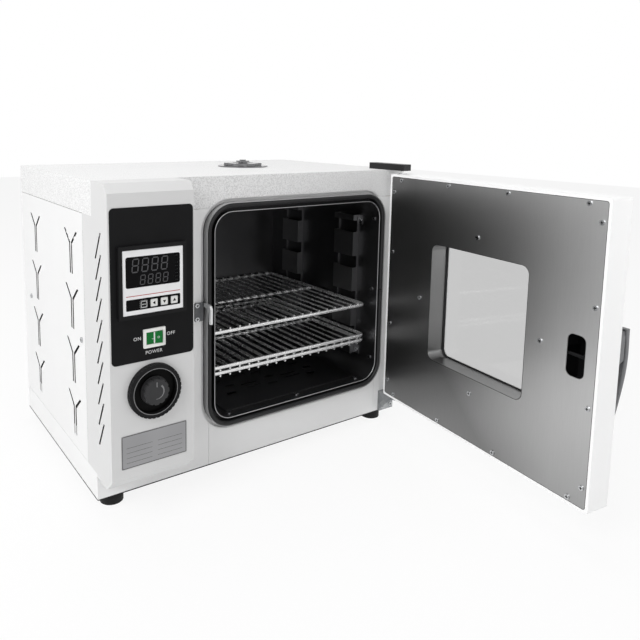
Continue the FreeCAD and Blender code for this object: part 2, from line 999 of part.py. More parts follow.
def insulation_left():
    x1 = cham_x0 - liner_t
    pad = box(wall_x + sheet_t, x1, box_y0, y_b - sheet_t, cham_z0 - liner_t, cham_z1 + liner_t)
    pad = pad.cut(disc("x", x1 - fan_case_depth, x1 + overrun, fan_y, fan_z, fan_case_r + fit_gap))
    pad = pad.cut(hole("x", wall_x, fan_y, fan_z, fan_shaft_hole, bay_w))
    pad = pad.cut(group(wall_screw_pockets(cham_x0)))
    return pad.cut(hole("x", wall_x, y_f + probe_back, cham_z0 + probe_up, probe_r + fit_gap, bay_w))


def insulation_back():
    y0 = cham_y1 + liner_t
    x0, x1, z0, z1 = grow(mouth, liner_t)
    return box(x0, x1, y0, y_b - sheet_t, z0, z1)


def insulation_pads():
    pads = [insulation_top(), insulation_bottom(), insulation_left(), insulation_right(), insulation_back()]
    pockets = [hole("x", x_r, y, z, screw_r + fit_gap, screw_len) for y, z in side_screw_places()]
    pockets += [hole("y", y_b, x, z, screw_r + fit_gap, screw_len) for x, z in back_screw_places()]
    return group([pad.cut(group(pockets)) for pad in pads])


def bay_partition():
    wall = box(wall_x, wall_x + sheet_t, y_f + 2 * sheet_t, y_b - sheet_t, z_b + sheet_t, z_t - sheet_t)
    cuts = [hole("x", wall_x, fan_y, fan_z, fan_shaft_hole, overrun)]
    cuts.append(hole("x", wall_x, y_f + probe_back, cham_z0 + probe_up, probe_r + fit_gap, overrun))
    cuts += [hole("x", wall_x, y, heater_z, heater_r + fit_gap, overrun) for y in heater_leg_places()]
    return wall.cut(group(cuts))


# Shelves and what carries them

def upright_span():
    """The straight part of the chamber wall between its rounded edges."""
    return cham_z0 + liner_r + upright_end, cham_z1 - liner_r - upright_end


def sill_places():
    z0, z1 = upright_span()
    high = z1 - cham_z0 - window_first - window_h - window_root
    count = int(high // window_pitch) + 1
    return [cham_z0 + window_first + i * window_pitch for i in range(count)]


def left_upright(y0, ear):
    """Channel with its open side to the wall and an ear for its screws; ear is -1 or 1 along Y."""
    x0 = cham_x0
    x1 = cham_x0 + upright_out
    y1 = y0 + upright_w
    z0, z1 = upright_span()
    low = z0 - overrun
    high = z1 + overrun
    room = box(x0 - overrun, x1 - upright_t, y0 + upright_t, y1 - upright_t, low, high)
    channel = box(x0, x1, y0, y1, z0, z1).cut(room)
    side = y0 if ear < 0 else y1
    far = side + ear * upright_ear
    for z in (z0, z1 - upright_ear_h):
        channel = channel.fuse(box(x0, x0 + upright_t, min(side, far), max(side, far), z, z + upright_ear_h))
    cuts = []
    for z in sill_places():
        rect = (x0 + window_root, x1 + overrun, z, z + window_h)
        cuts.append(prism("y", y0 - overrun, y1 + overrun, rect, window_r))
    for x, y, z in wall_screw_places():
        cuts.append(hole("x", x0, y, z, small_screw_r + fit_gap, overrun))
    return channel.removeSplitter().cut(group(cuts))


def shelf_uprights():
    posts = [left_upright(y_f + upright_front, -1), left_upright(y_f + upright_rear, 1)]
    return group(posts + [mirror_x(post, cham_x) for post in posts])


def wire_shelf(z, up):
    """Frame rods centred at z with wires spot-welded above (1) or below (-1) them."""
    x0 = cham_x0 + shelf_gap + shelf_rod_r
    x1 = cham_x1 - shelf_gap - shelf_rod_r
    y0 = y_f + shelf_front + shelf_rod_r
    y1 = cham_y1 - shelf_back - shelf_rod_r
    path = [(cham_x, y0), (x0, y0), (x0, y1), (cham_x, y1)]
    half = bent_rod([FreeCAD.Vector(a, b, z) for a, b in path], shelf_bend, shelf_rod_r)
    cross = disc("x", x0, x1, (y0 + y1) / 2, z, shelf_rod_r - shelf_weld / 2)
    frame = [half, mirror_x(half, cham_x), cross]
    wires = []
    room = x1 - x0 - 2 * upright_out
    count = int(room // shelf_wire_pitch) + 1
    wire_z = z + up * (shelf_rod_r + shelf_wire_r - shelf_weld)
    for i in range(count):
        x = cham_x + (i - (count - 1) / 2) * shelf_wire_pitch
        wires.append(disc("y", y0 - shelf_wire_r, y1 + shelf_wire_r, x, wire_z, shelf_wire_r))
    return group([join(frame)] + wires)


def shelf_places():
    """Rod heights of the three shelves: one upright, two turned over and stacked."""
    sills = sill_places()
    high = sills[min(shelf_high_window, len(sills) - 1)] + run_gap + shelf_rod_r
    low = sills[shelf_low_window] + run_gap + shelf_rod_r
    stack = 2 * shelf_rod_r + 2 * shelf_wire_r - shelf_weld + run_gap
    return [("shelf_upper", high, 1), ("shelf_middle", low + stack, -1), ("shelf_lower", low, -1)]


# Fan

def case_x():
    return cham_x0 - liner_t - fan_case_depth


def fan_case():
    x0 = case_x()
    x1 = cham_x0 - liner_t
    pan = disc("x", x0, x1, fan_y, fan_z, fan_case_r)
    pan = pan.cut(disc("x", x0 + liner_t, x1 + overrun, fan_y, fan_z, fan_case_r - liner_t))
    return pan.cut(hole("x", x0, fan_y, fan_z, fan_shaft_hole, overrun))


def fan_cover():
    rect = about(fan_y, fan_z, cover_w, cover_h)
    plate = prism("x", cham_x0, cham_x0 + cover_t, rect, cover_corner)
    cuts = []
    for ring in range(1, cover_rings + 1):
        count = cover_first * ring
        for i in range(count):
            angle = 2 * math.pi * i / count
            y = fan_y + ring * cover_ring_r * math.cos(angle)
            z = fan_z + ring * cover_ring_r * math.sin(angle)
            cuts.append(hole("x", cham_x0, y, z, cover_hole_r, overrun))
    for y, z in cover_screw_places():
        cuts.append(hole("x", cham_x0, y, z, small_screw_r + fit_gap, overrun))
    return plate.cut(group(cuts))


def cover_screw_places():
    y0, y1, z0, z1 = grow(about(fan_y, fan_z, cover_w, cover_h), -cover_screw_in)
    return [(y, z) for y in (y0, y1) for z in (z0, z1)]


def impeller_x():
    return case_x() + liner_t + impeller_gap


def fan_rotor():
    """Bladed wheel with its shaft, which reaches back into the motor."""
    x0 = impeller_x()
    x1 = x0 + impeller_disc + impeller_w
    parts = [disc("x", x0, x0 + impeller_disc, fan_y, fan_z, impeller_r)]
    parts.append(disc("x", x0, x1, fan_y, fan_z, hub_r))
    y0 = fan_y - blade_t / 2
    blade = box(x0, x1, y0, y0 + blade_t, fan_z + blade_root, fan_z + impeller_r - blade_t)
    for i in range(blade_n):
        turned = blade.copy()
        turned.rotate(FreeCAD.Vector(x0, fan_y, fan_z), FreeCAD.Vector(1, 0, 0), 360 * i / blade_n)
        parts.append(turned)
    seat = wall_x - motor_gap - shaft_seat
    parts.append(disc("x", seat, x0 + impeller_disc, fan_y, fan_z, fan_shaft_r))
    return join(parts)


def fan_motor():
    x1 = wall_x - motor_gap
    x0 = x1 - motor_l
    square = about(fan_y, fan_z, motor_flange, motor_flange)
    flange = prism("x", x1 - motor_flange_t, x1, square, motor_post_r)
    can = disc("x", x0, x1, fan_y, fan_z, motor_r)
    cap = disc("x", x0 - motor_cap_l, x0, fan_y, fan_z, motor_cap_r)
    y0, y1, z0, z1 = grow(square, -motor_post_in)
    posts = [disc("x", x1, wall_x, y, z, motor_post_r) for y in (y0, y1) for z in (z0, z1)]
    motor = fuse([flange, can, cap] + posts)
    deep = x1 - shaft_seat - run_gap
    return motor.cut(disc("x", deep, x1 + overrun, fan_y, fan_z, fan_shaft_r + shaft_gap))


def temperature_probe():
    y = y_f + probe_back
    z = cham_z0 + probe_up
    stem = disc("x", wall_x - 2 * probe_nut_t, cham_x0 + probe_reach, y, z, probe_r)
    nut = disc("x", wall_x - probe_nut_t, wall_x, y, z, probe_nut_r)
    return fuse([stem, nut])


# Exhaust

def vent_ports_cut(z0, z1):
    ports = []
    for i in range(vent_ports):
        wedge = Part.makeCylinder(vent_port_out, z1 - z0, FreeCAD.Vector(vent_x, vent_y, z0),
                                  FreeCAD.Vector(0, 0, 1), vent_port_angle)
        wedge = wedge.cut(disc("z", z0 - overrun, z1 + overrun, vent_x, vent_y, vent_port_in))
        turn = 360 * i / vent_ports - vent_port_angle / 2
        wedge.rotate(FreeCAD.Vector(vent_x, vent_y, 0), FreeCAD.Vector(0, 0, 1), turn)
        ports.append(wedge)
    return group(ports)


def exhaust_collar():
    """Tube from the chamber's roof with its ported rim plate and the shutter's pin."""
    tube = disc("z", cham_z1, z_t, vent_x, vent_y, vent_tube_r)
    tube = tube.cut(disc("z", cham_z1 - overrun, z_t, vent_x, vent_y, vent_tube_r - vent_tube_t))
    plate = disc("z", z_t, vent_z, vent_x, vent_y, vent_base_r)
    plate = plate.cut(vent_ports_cut(z_t - overrun, vent_z + overrun))
    top = vent_z + run_gap + vent_shutter_t + vent_knob_h + run_gap
    pin = disc("z", z_t, top, vent_x, vent_y, vent_pin_r)
    head = disc("z", top, top + small_head_h, vent_x, vent_y, 2 * vent_pin_r)
    return fuse([tube, plate, pin, head])


def exhaust_shutter():
    """Lobed plate with matching ports and a finger knob in its middle."""
    z0 = vent_z + run_gap
    z1 = z0 + vent_shutter_t
    plate = disc("z", z0, z1, vent_x, vent_y, vent_shutter_r - vent_lobe_r)
    lobes = []
    for i in range(vent_lobes):
        angle = 2 * math.pi * (i + 0.5) / vent_lobes
        reach = vent_shutter_r - 2 * vent_lobe_r
        x = vent_x + reach * math.cos(angle)
        y = vent_y + reach * math.sin(angle)
        lobes.append(disc("z", z0, z1, x, y, 2 * vent_lobe_r))
    plate = fuse([plate] + lobes)
    plate = plate.cut(vent_ports_cut(z0 - overrun, z1 + overrun))
    neck = disc("z", z0, z1 + vent_knob_h, vent_x, vent_y, vent_port_in)
    grip = disc("z", z1 + vent_knob_h / 2, z1 + vent_knob_h, vent_x, vent_y, vent_knob_r)
    shutter = fuse([plate, neck, grip])
    return shutter.cut(disc("z", z0 - overrun, z1 + body_h, vent_x, vent_y, vent_pin_r + shaft_gap))


# Door, drawn closed and then swung to its open rest pose

def door_rect():
    return (door_x0, door_x1, door_z0, door_z1)


def pane_rect():
    return about((door_x0 + door_x1) / 2, (door_z0 + door_z1) / 2, pane_w, pane_w)


def bush_r_out():
    return pin_r + shaft_gap + bush_wall


def finger_slot(y0, y1, gap):
    z0 = pivot_z - pawl_travel - finger_h / 2 - gap
    half = finger_w / 2 + gap
    return box(handle_x - half, handle_x + half, y0, y1, z0, pivot_z + finger_h / 2 + gap)


def door_shell():
    rect = door_rect()
    shell = prism("y", door_out, door_in, rect, door_r)
    cuts = [prism("y", door_out + sheet_t, door_in - 2 * door_step, grow(rect, -sheet_t), door_r - sheet_t)]
    cuts.append(prism("y", door_out + sheet_t, door_in + overrun, grow(rect, -door_flange)))
    cuts.append(prism("y", door_in - door_step, door_in + overrun, grow(rect, -door_rim)))
    cuts.append(prism("y", door_out - overrun, door_in, pane_rect(), pane_r))
    cuts.append(finger_slot(door_out - overrun, door_out + overrun, finger_room))
    for z in (door_z0, door_z1):
        cuts.append(hole("z", z, axis_x, axis_y, bush_r_out() + fit_gap, overrun))
    for x, z in liner_screw_places():
        cuts.append(hole("y", door_in, x, z, small_screw_r + fit_gap, overrun))
    return shell.cut(join(cuts))


def liner_rect():
    return grow(door_rect(), -door_rim - fit_gap)


def liner_screw_places():
    """Screws round the liner's edge, top and bottom and then along both sides."""
    x0, x1, z0, z1 = liner_rect()
    across = [x1 - s * (x1 - x0) for s in liner_screw_share_u]
    upward = [z0 + s * (z1 - z0) for s in liner_screw_share_h]
    places = [(x, z) for x in across for z in (z0 + liner_screw_in, z1 - liner_screw_in)]
    return places + [(x, z) for x in (x0 + liner_screw_side, x1 - liner_screw_side) for z in upward]


def pane_screw_places():
    x0, x1, z0, z1 = grow(pane_rect(), pane_screw_out)
    x = (x0 + x1) / 2
    z = (z0 + z1) / 2
    return [(x0, z), (x1, z), (x, z0), (x, z1)]


def glass_y():
    return door_out + sheet_t + cushion_t


def door_liner():
    pane = pane_rect()
    y1 = glass_y() + pane_t
    plate = prism("y", door_in - door_step, door_in, liner_rect(), door_r)
    plate = plate.cut(prism("y", door_in - overrun, door_in + overrun, pane, pane_r))
    reveal = frame_ring("y", y1, door_in - door_step / 2, pane, reveal_t, 0, pane_r)
    flange = frame_ring("y", y1, y1 + reveal_t, pane, reveal_flange, 0, pane_r)
    sheet = fuse([plate, reveal, flange])
    cuts = [prism("y", door_in - overrun, door_in + overrun, slot_rect(), slot_r)]
    for x, z in liner_screw_places() + pane_screw_places():
        cuts.append(hole("y", door_in, x, z, small_screw_r + fit_gap, overrun))
    return sheet.cut(group(cuts))


def slot_rect():
    return about(latch_x, latch_z, slot_w, slot_h)


def latch_rect():
    return about(latch_x, latch_z, latch_w, latch_h)


def window_pane():
    return prism("y", glass_y(), glass_y() + pane_t, grow(pane_rect(), pane_lap), pane_r)


def pane_cushion():
    return frame_ring("y", door_out + sheet_t, glass_y(), pane_rect(), pane_lap, 0, pane_r)


def door_insulation():
    y0 = door_out + sheet_t
    y1 = door_in - 2 * door_step
    pad = prism("y", y0, y1, grow(door_rect(), -sheet_t - fit_gap), door_r)
    cuts = [prism("y", y0 - overrun, y1 + overrun, grow(pane_rect(), reveal_flange + fit_gap), pane_r)]
    cuts.append(prism("y", y0 - overrun, y1 + overrun, grow(latch_rect(), latch_wall + fit_gap)))
    for z in (door_z0, door_z1):
        cuts.append(hole("z", z, axis_x, axis_y, bush_r_out() + fit_gap, bush_deep + fit_gap))
    for x, z in liner_screw_places() + pane_screw_places():
        cuts.append(hole("y", door_in, x, z, small_screw_r + fit_gap, small_screw_len + fit_gap))
    return pad.cut(join(cuts))


def door_screws():
    places = liner_screw_places() + pane_screw_places()
    return group([small_screw("y", door_in, 1, x, z) for x, z in places])


def door_bush(z, out):
    bush = disc("z", z, z - out * bush_deep, axis_x, axis_y, bush_r_out())
    rim = disc("z", z, z + out * bush_rim_t, axis_x, axis_y, bush_r_out() + bush_rim)
    return fuse([bush, rim]).cut(hole("z", z, axis_x, axis_y, pin_r + shaft_gap, bush_deep + overrun))


def door_bushes():
    return group([door_bush(door_z0, -1), door_bush(door_z1, 1)])


def latch_back():
    return door_in - door_step - latch_deep


def latch_case():
    y1 = door_in - 2 * door_step
    y0 = latch_back()
    case = prism("y", y0, y1, grow(latch_rect(), latch_wall))
    case = case.cut(prism("y", y0 + latch_wall, y1 + overrun, latch_rect()))
    return case.cut(finger_slot(y0 - overrun, y0 + overrun, finger_room))


def pawl_y():
    return y_f - pawl_in


def pawl_z():
    return z_b + pawl_up


def latch_pawl():
    """Catch bar on two arms that ride with a plate at the back of the latch case."""
    x0, x1, z0, z1 = grow(latch_rect(), -run_gap)
    back = latch_back() + latch_wall + run_gap
    plate_front = back + pawl_plate_t
    low = pawl_z() - pawl_arm_h / 2
    top = pivot_z - finger_h / 2 - run_gap
    parts = [box(x0, x1, back, plate_front, low, top)]
    parts.append(disc("x", x0, x1, pawl_y(), pawl_z(), pawl_r))
    for x in (x0, x1 - pawl_arm_t):
        parts.append(box(x, x + pawl_arm_t, plate_front, pawl_y() + pawl_r, low, low + pawl_arm_h))
    return fuse(parts)


def handle_base():
    """Block with sloped ends, two ears under the lever and the pin through them."""
    z0 = z_b + handle_base_low
    z1 = z0 + handle_base_h
    half = handle_base_w / 2
    front = door_out - handle_base_t
    profile = [(door_out, z0), (front, z0 + handle_base_slope)]
    profile += [(front, z1 - handle_base_slope), (door_out, z1)]
    parts = [slab("x", handle_x - half, handle_x + half, profile)]
    for side in (-1, 1):
        a = handle_x + side * (lug_w / 2 + run_gap)
        b = a + side * ear_t
        parts.append(disc("x", a, b, pivot_y, pivot_z, ear_r))
        root = front + sheet_t
        parts.append(box(min(a, b), max(a, b), pivot_y, root, pivot_z - ear_r, pivot_z + ear_r))
    room = (lug_w - finger_w) / 2 + run_gap
    cuts = [finger_slot(front - overrun, door_out + overrun, room)]
    cuts.append(hole("x", handle_x, pivot_y, pivot_z, pivot_r + shaft_gap, handle_base_w))
    reach = lug_w / 2 + run_gap + ear_t
    pin = disc("x", handle_x - reach, handle_x + reach, pivot_y, pivot_z, pivot_r)
    return group([fuse(parts).cut(group(cuts)), pin])


def lever_body(inset, tip):
    """Lever from its top to the height tip, drawn inside its skin by inset."""
    top = z_b + lever_top - inset
    bend = z_b + lever_bend
    places = [(top, 0), (bend, 0)]
    for i in range(1, lever_steps + 1):
        share = i / lever_steps
        places.append((bend + share * (tip - bend), share ** lever_curve))
    sections = []
    for z, share in places:
        width = lever_w + share * (lever_tip_w - lever_w) - 2 * inset
        depth = lever_depth + share * (lever_tip_depth - lever_depth)
        front = door_out - lever_front - share * (lever_tip_front - lever_front)
        rect = (handle_x - width / 2, handle_x + width / 2, front + inset, front + depth + inset)
        sections.append(outline("z", z, rect, depth * lever_round_share))
    return Part.makeLoft(sections, True, False)


def handle_lever():
    """Hollow-backed lever with the lug it turns on and the finger that reaches through the door."""
    tip = z_b + lever_tip
    grip = lever_body(0, tip).cut(lever_body(lever_wall, tip + lever_tip_solid))
    half = lug_w / 2
    skin = door_out - lever_front + lever_wall
    round_r = ear_r - run_gap
    lug = box(handle_x - half, handle_x + half, skin - run_gap, pivot_y, pivot_z - round_r, pivot_z + round_r)
    eye = disc("x", handle_x - half, handle_x + half, pivot_y, pivot_z, round_r)
    rect = about(handle_x, pivot_z, finger_w, finger_h)
    finger = prism("y", pivot_y, latch_back() + latch_wall + finger_reach, rect)
    lever = join([grip, lug, eye, finger])
    return lever.cut(hole("x", handle_x, pivot_y, pivot_z, pivot_r + shaft_gap, lug_w))


# Hinges

def top_hinge_arm():
    half = arm_w / 2
    rect = (axis_x - half, axis_x + half, y_f - arm_front, y_f + arm_back)
    bar = prism("z", z_t, z_t + arm_t, rect, cap_t)
    cuts = [hole("z", z_t, axis_x, axis_y, pin_r + fit_gap, 2 * arm_t)]
    for x, y in arm_screw_places():
        cuts.append(hole("z", z_t, x, y, screw_r + fit_gap, 2 * arm_t))
    return bar.cut(group(cuts))


def arm_screw_places():
    return [(axis_x, y_f + arm_back * share) for share in arm_screw_shares]


def arm_screw_holes():
    return [hole("z", z_t, x, y, screw_r + fit_gap, screw_len) for x, y in arm_screw_places()]


def top_hinge_cap():
    half = arm_w / 2 + run_gap
    rect = (axis_x - half, axis_x + half, y_f - arm_front - run_gap, y_f + arm_back + run_gap)
    cap = prism("z", z_t, z_t + cap_h, grow(rect, cap_t), 2 * cap_t)
    return cap.cut(prism("z", z_t - overrun, z_t + cap_h - cap_t, rect, cap_t))


def top_hinge_pin():
    return screw("z", z_t + arm_t, 1, axis_x, axis_y, pin_r + bush_rim, arm_head_t, pin_r,
                 arm_t + door_high + pin_reach)


def bracket_z():
    return z_b + bracket_rise


def bottom_hinge_bracket():
    x1 = x_r - bracket_side
    x0 = x1 - bracket_w
    z1 = bracket_z()
    z0 = z_b + bracket_low
    leg = box(x0, x1, y_f - bracket_t, y_f, z0, z1)
    shelf = prism("z", z1 - bracket_t, z1, (x0, x1, y_f - bracket_out, y_f), bracket_t)
    back = box(x0, x1, y_f - 2 * bracket_t, y_f, z1 - bracket_t, z1)
    low_z = z1 - bracket_t
    near = y_f - bracket_t
    points = [(near, low_z), (y_f - bracket_out + 2 * bracket_t, low_z), (near, z0 + bracket_t)]
    rib = slab("x", x0, x0 + bracket_gusset, points)
    part = fuse([leg, shelf, back, rib])
    cuts = [hole("z", z1, axis_x, axis_y, pin_r + fit_gap, 2 * bracket_t)]
    cuts += [hole("y", y_f, x, z, screw_r + fit_gap, 2 * bracket_t) for x, z in bracket_screw_places()]
    return part.cut(group(cuts))


def bottom_hinge_pin():
    seat = bracket_z() - bracket_t
    return screw("z", seat, -1, axis_x, axis_y, pin_r + bush_rim, small_head_h, pin_r,
                 door_z0 + pin_reach - seat)


def hinge_washer():
    z0 = bracket_z()
    z1 = door_z0 - bush_rim_t - run_gap
    washer = disc("z", z0, z1, axis_x, axis_y, bush_r_out() + bush_rim)
    return washer.cut(hole("z", z0, axis_x, axis_y, pin_r + shaft_gap, overrun))


# Striker

def striker_plate_rect():
    return about(hook_x0 - striker_plate_w / 2, z_b + striker_up, striker_plate_w, striker_plate_h)


def striker_screw_places():
    x0, x1, z0, z1 = grow(striker_plate_rect(), -small_head_r - fit_gap)
    return [(x0, z0), (x0, z1)]


def striker_screw_holes():
    places = striker_screw_places()
    return [hole("y", y_f, x, z, small_screw_r + fit_gap, small_screw_len) for x, z in places]


def striker_hook():
    """Hook in a bent-out ear: an arm over the catch bar and a leg down in front of it."""
    x0 = hook_x0
    x1 = hook_x1
    front = y_f - hook_out
    leg = front + hook_leg_w
    top = z_b + hook_top
    arm = top - hook_arm_h
    tip = z_b + hook_tip
    slant = [(front, top), (y_f, top), (y_f, arm), (leg, arm), (front + hook_tip_w, tip), (front, tip)]
    hook = slab("x", x0, x1, slant)
    outer = box(x0, x1, front, front + hook_outer_r, top - hook_outer_r, top)
    outer = outer.cut(disc("x", x0, x1, front + hook_outer_r, top - hook_outer_r, hook_outer_r))
    y = leg + hook_inner_r
    z = arm - hook_inner_r
    inner = box(x0, x1, leg, y, z, arm).cut(disc("x", x0, x1, y, z, hook_inner_r))
    return fuse([hook.cut(outer), inner])


def striker():
    """Screwed plate on the stile whose inner edge is bent out into the hook."""
    y0 = y_f - striker_plate_t
    plate = prism("y", y0, y_f, striker_plate_rect(), striker_plate_t / 2)
    bend = box(hook_x0 - striker_plate_t, hook_x0, y0, y_f, *striker_plate_rect()[2:])
    parts = [plate, bend, striker_hook()]
    for x, z in striker_screw_places():
        parts[0] = parts[0].cut(hole("y", y_f, x, z, small_screw_r + fit_gap, overrun))
    return fuse(parts)


# Front controls

def meter_rect():
    return (x_l + meter_in, x_l + meter_in + meter_w, z_b + meter_low, z_b + meter_low + meter_h)


def switch_rect():
    return about(x_l + switch_in, z_b + switch_up, switch_w, switch_h)


def switch_open_rect():
    return about(x_l + switch_in, z_b + switch_up, switch_open_w, switch_open_h)


def switch_body_rect():
    return grow(switch_open_rect(), switch_wall)


def panel_y():
    return face_y - overlay_t


def control_overlay():
    x0 = x_l + overlay_in
    z0 = z_b + overlay_low
    film = prism("y", panel_y(), face_y, (x0, x0 + overlay_w, z0, z0 + overlay_h), overlay_r)
    cuts = [prism("y", panel_y() - overrun, face_y + overrun, grow(meter_rect(), fit_gap - meter_body_in))]
    cuts.append(prism("y", panel_y() - overrun, face_y + overrun, grow(switch_body_rect(), fit_gap)))
    return film.cut(group(cuts))


def pocket_y():
    return panel_y() - meter_out + meter_pocket


def meter_case():
    bezel = prism("y", panel_y() - meter_out, panel_y(), meter_rect(), meter_r)
    body = prism("y", panel_y(), panel_y() + meter_body_d, grow(meter_rect(), -meter_body_in))
    case = fuse([bezel, body])
    rect = grow(meter_rect(), -meter_rim)
    return case.cut(prism("y", pocket_y() - meter_out, pocket_y(), rect, meter_r / 2))


def screen_rect():
    x = x_l + meter_in + meter_w / 2
    return (x - screen_w / 2, x + screen_w / 2, z_b + screen_low, z_b + screen_low + screen_h)


def key_places():
    return [x_l + key_in + i * key_pitch for i in range(key_n)]


def meter_plate():
    y0 = pocket_y() - meter_plate_t
    plate = prism("y", y0, pocket_y(), grow(meter_rect(), -meter_rim - fit_gap), meter_r / 2)
    cuts = [prism("y", y0 - overrun, pocket_y() + overrun, screen_rect(), screen_r)]
    for x in key_places():
        rect = about(x, z_b + key_up, key_w + 2 * run_gap, key_w + 2 * run_gap)
        cuts.append(prism("y", y0 - overrun, pocket_y() + overrun, rect))
    return plate.cut(group(cuts))


def meter_screen():
    rect = grow(screen_rect(), -fit_gap)
    return prism("y", pocket_y() - screen_t, pocket_y(), rect, screen_r - fit_gap)


def meter_key(x):
    front = pocket_y() - meter_plate_t - key_out
    back = pocket_y() - key_travel - run_gap
    return prism("y", front, back, about(x, z_b + key_up, key_w, key_w), key_out)


def rocker_y():
    return panel_y() - switch_out + rocker_t / 2 - key_out


def switch_case():
    bezel = prism("y", panel_y() - switch_out, panel_y(), switch_rect(), switch_out / 2)
    body = prism("y", panel_y(), panel_y() + switch_body_d, switch_body_rect())
    floor = rocker_y() + rocker_t / 2 + run_gap
    room = prism("y", panel_y() - 2 * switch_out, floor, switch_open_rect())
    seats = rocker_pins(rocker_pin_out + run_gap, rocker_pin_r + shaft_gap)
    return fuse([bezel, body]).cut(group([room, seats]))


def rocker_pins(out, r):
    """One rod on the rocker's axis that stands out of both its ends."""
    z = z_b + switch_up
    reach = rocker_h / 2 + out
    return disc("z", z - reach, z + reach, x_l + switch_in, rocker_y(), r)


def power_rocker():
    x = x_l + switch_in
    y = rocker_y()
    half = rocker_w / 2
    deep = rocker_t / 2
    points = [(x - half, y - deep), (x, y - deep + rocker_dip), (x + half, y - deep)]
    points += [(x + half, y + rocker_dip), (x, y + deep), (x - half, y + rocker_dip)]
    z = z_b + switch_up
    rocker = slab("z", z - rocker_h / 2, z + rocker_h / 2, points)
    rocker.rotate(FreeCAD.Vector(x, y, z), FreeCAD.Vector(0, 0, 1), -rocker_tilt)
    return fuse([rocker, rocker_pins(rocker_pin_out, rocker_pin_r)])


def dial_body():
    """Dial cup with a grooved rim, the neck through the panel and the body behind it."""
    x = x_l + dial_in
    z = z_b + dial_up
    back = face_y + sheet_t
    cup = disc("y", face_y - dial_t, face_y, x, z, dial_r)
    cup = cup.cut(disc("y", face_y - dial_t - overrun, face_y - dial_floor, x, z, dial_rim_r))
    cup = cup.cut(group(dial_grooves(x, z)))
    neck = disc("y", face_y - dial_floor, back, x, z, dial_neck_r)
    body = disc("y", back, back + control_body_l, x, z, control_body_r)
    control = fuse([cup, neck, body])
    front = face_y - dial_t - overrun
    return control.cut(disc("y", front, back + spindle_l + run_gap, x, z, spindle_r + shaft_gap))


def dial_grooves(x, z):
    reach = dial_r + dial_rib_r - dial_rib_sink
    grooves = []
    for i in range(dial_rib_n):
        angle = 2 * math.pi * i / dial_rib_n
        a = x + reach * math.cos(angle)
        b = z + reach * math.sin(angle)
        grooves.append(disc("y", face_y - dial_t - overrun, face_y - dial_floor, a, b, dial_rib_r))
    return grooves


def dial_knob():
    x = x_l + dial_in
    z = z_b + dial_up
    y0 = face_y - dial_floor - run_gap
    skirt = disc("y", y0 - knob_skirt_h, y0, x, z, knob_skirt_r)
    grip = disc("y", y0 - knob_h, y0, x, z, knob_r)
    knob = fuse([skirt, grip])
    cuts = []
    for i in range(knob_flutes):
        angle = 2 * math.pi * (i + 0.5) / knob_flutes
        a = x + (knob_r + knob_flute_r / 2) * math.cos(angle)
        b = z + (knob_r + knob_flute_r / 2) * math.sin(angle)
        cuts.append(disc("y", y0 - knob_h - overrun, y0 - knob_skirt_h, a, b, knob_flute_r))
    spindle = disc("y", y0 - knob_h / 2, face_y + sheet_t + spindle_l, x, z, spindle_r)
    return fuse([knob.cut(group(cuts)), spindle])


# Feet, wiring parts and fasteners

def rubber_foot(x, y):
    sole = disc("z", 0, foot_straight, x, y, foot_r)
    rise = foot_h - foot_straight
    cone = Part.makeCone(foot_r, foot_top_r, rise, FreeCAD.Vector(x, y, foot_straight))
    return fuse([sole, cone]).cut(disc("z", foot_h - stud_sink, foot_h + overrun, x, y, stud_r))


def stud_top():
    return z_b + sheet_t + stud_nut_t + stud_rise


def foot_stud(x, y):
    """Threaded stud bonded into the foot, with the nut that clamps the pan."""
    stud = disc("z", foot_h - stud_sink, stud_top(), x, y, stud_r)
    corners = []
    for i in range(stud_nut_sides):
        angle = 2 * math.pi * i / stud_nut_sides
        corners.append((x + stud_nut_r * math.cos(angle), y + stud_nut_r * math.sin(angle)))
    nut = slab("z", z_b + sheet_t, z_b + sheet_t + stud_nut_t, corners)
    return fuse([stud, nut])


def power_gland():
    x = x_l + gland_side
    z = z_b + gland_up
    neck = gland_bore_r + sheet_t
    body = disc("y", y_b, y_b + gland_out, x, z, gland_r)
    thread = disc("y", y_b - gland_in, y_b, x, z, neck)
    gland = fuse([body, thread]).cut(hole("y", y_b, x, z, gland_bore_r, body_d / 2))
    y1 = y_b - sheet_t
    nut = disc("y", y1 - gland_nut_t, y1, x, z, gland_r)
    return group([gland, nut.cut(hole("y", y1, x, z, neck + fit_gap, overrun + gland_nut_t))])


def terminal_block():
    x = x_l + block_side
    y1 = y_b - block_back
    y0 = y1 - block_l
    z0 = z_b + sheet_t
    body = box(x - block_w / 2, x + block_w / 2, y0, y1, z0, z0 + block_h)
    cuts = []
    for i in range(block_ways):
        y = y0 + (i + 0.5) / block_ways * block_l
        cuts.append(disc("z", z0 + block_h / 2, z0 + block_h + overrun, x, y, block_hole_r))
    return body.cut(group(cuts))


def heater_relay():
    y1 = y_f + relay_back + relay_w
    z0 = z_b + relay_up
    return prism("x", wall_x - relay_t, wall_x, (y_f + relay_back, y1, z0, z0 + relay_h), screw_r)


def bay_blocks():
    return group([terminal_block(), heater_relay()])


def front_sheets():
    return group([left_stile(), right_stile(), bottom_rail()])


def hinge_pins():
    return group([top_hinge_pin(), bottom_hinge_pin(), hinge_washer()])


def rubber_feet():
    return group([rubber_foot(x, y) for x, y in foot_places()])


def cabinet_screws():
    screws = []
    for x, out in ((x_l, -1), (x_r, 1)):
        screws += [sheet_screw("x", x, out, y, z) for y, z in side_screw_places()]
    screws += [sheet_screw("y", y_b, 1, x, z) for x, z in back_screw_places()]
    screws += [sheet_screw("y", y_f - bracket_t, -1, x, z) for x, z in bracket_screw_places()]
    screws += [sheet_screw("z", z_t + arm_t, 1, x, y) for x, y in arm_screw_places()]
    screws += [foot_stud(x, y) for x, y in foot_places()]
    return group(screws)


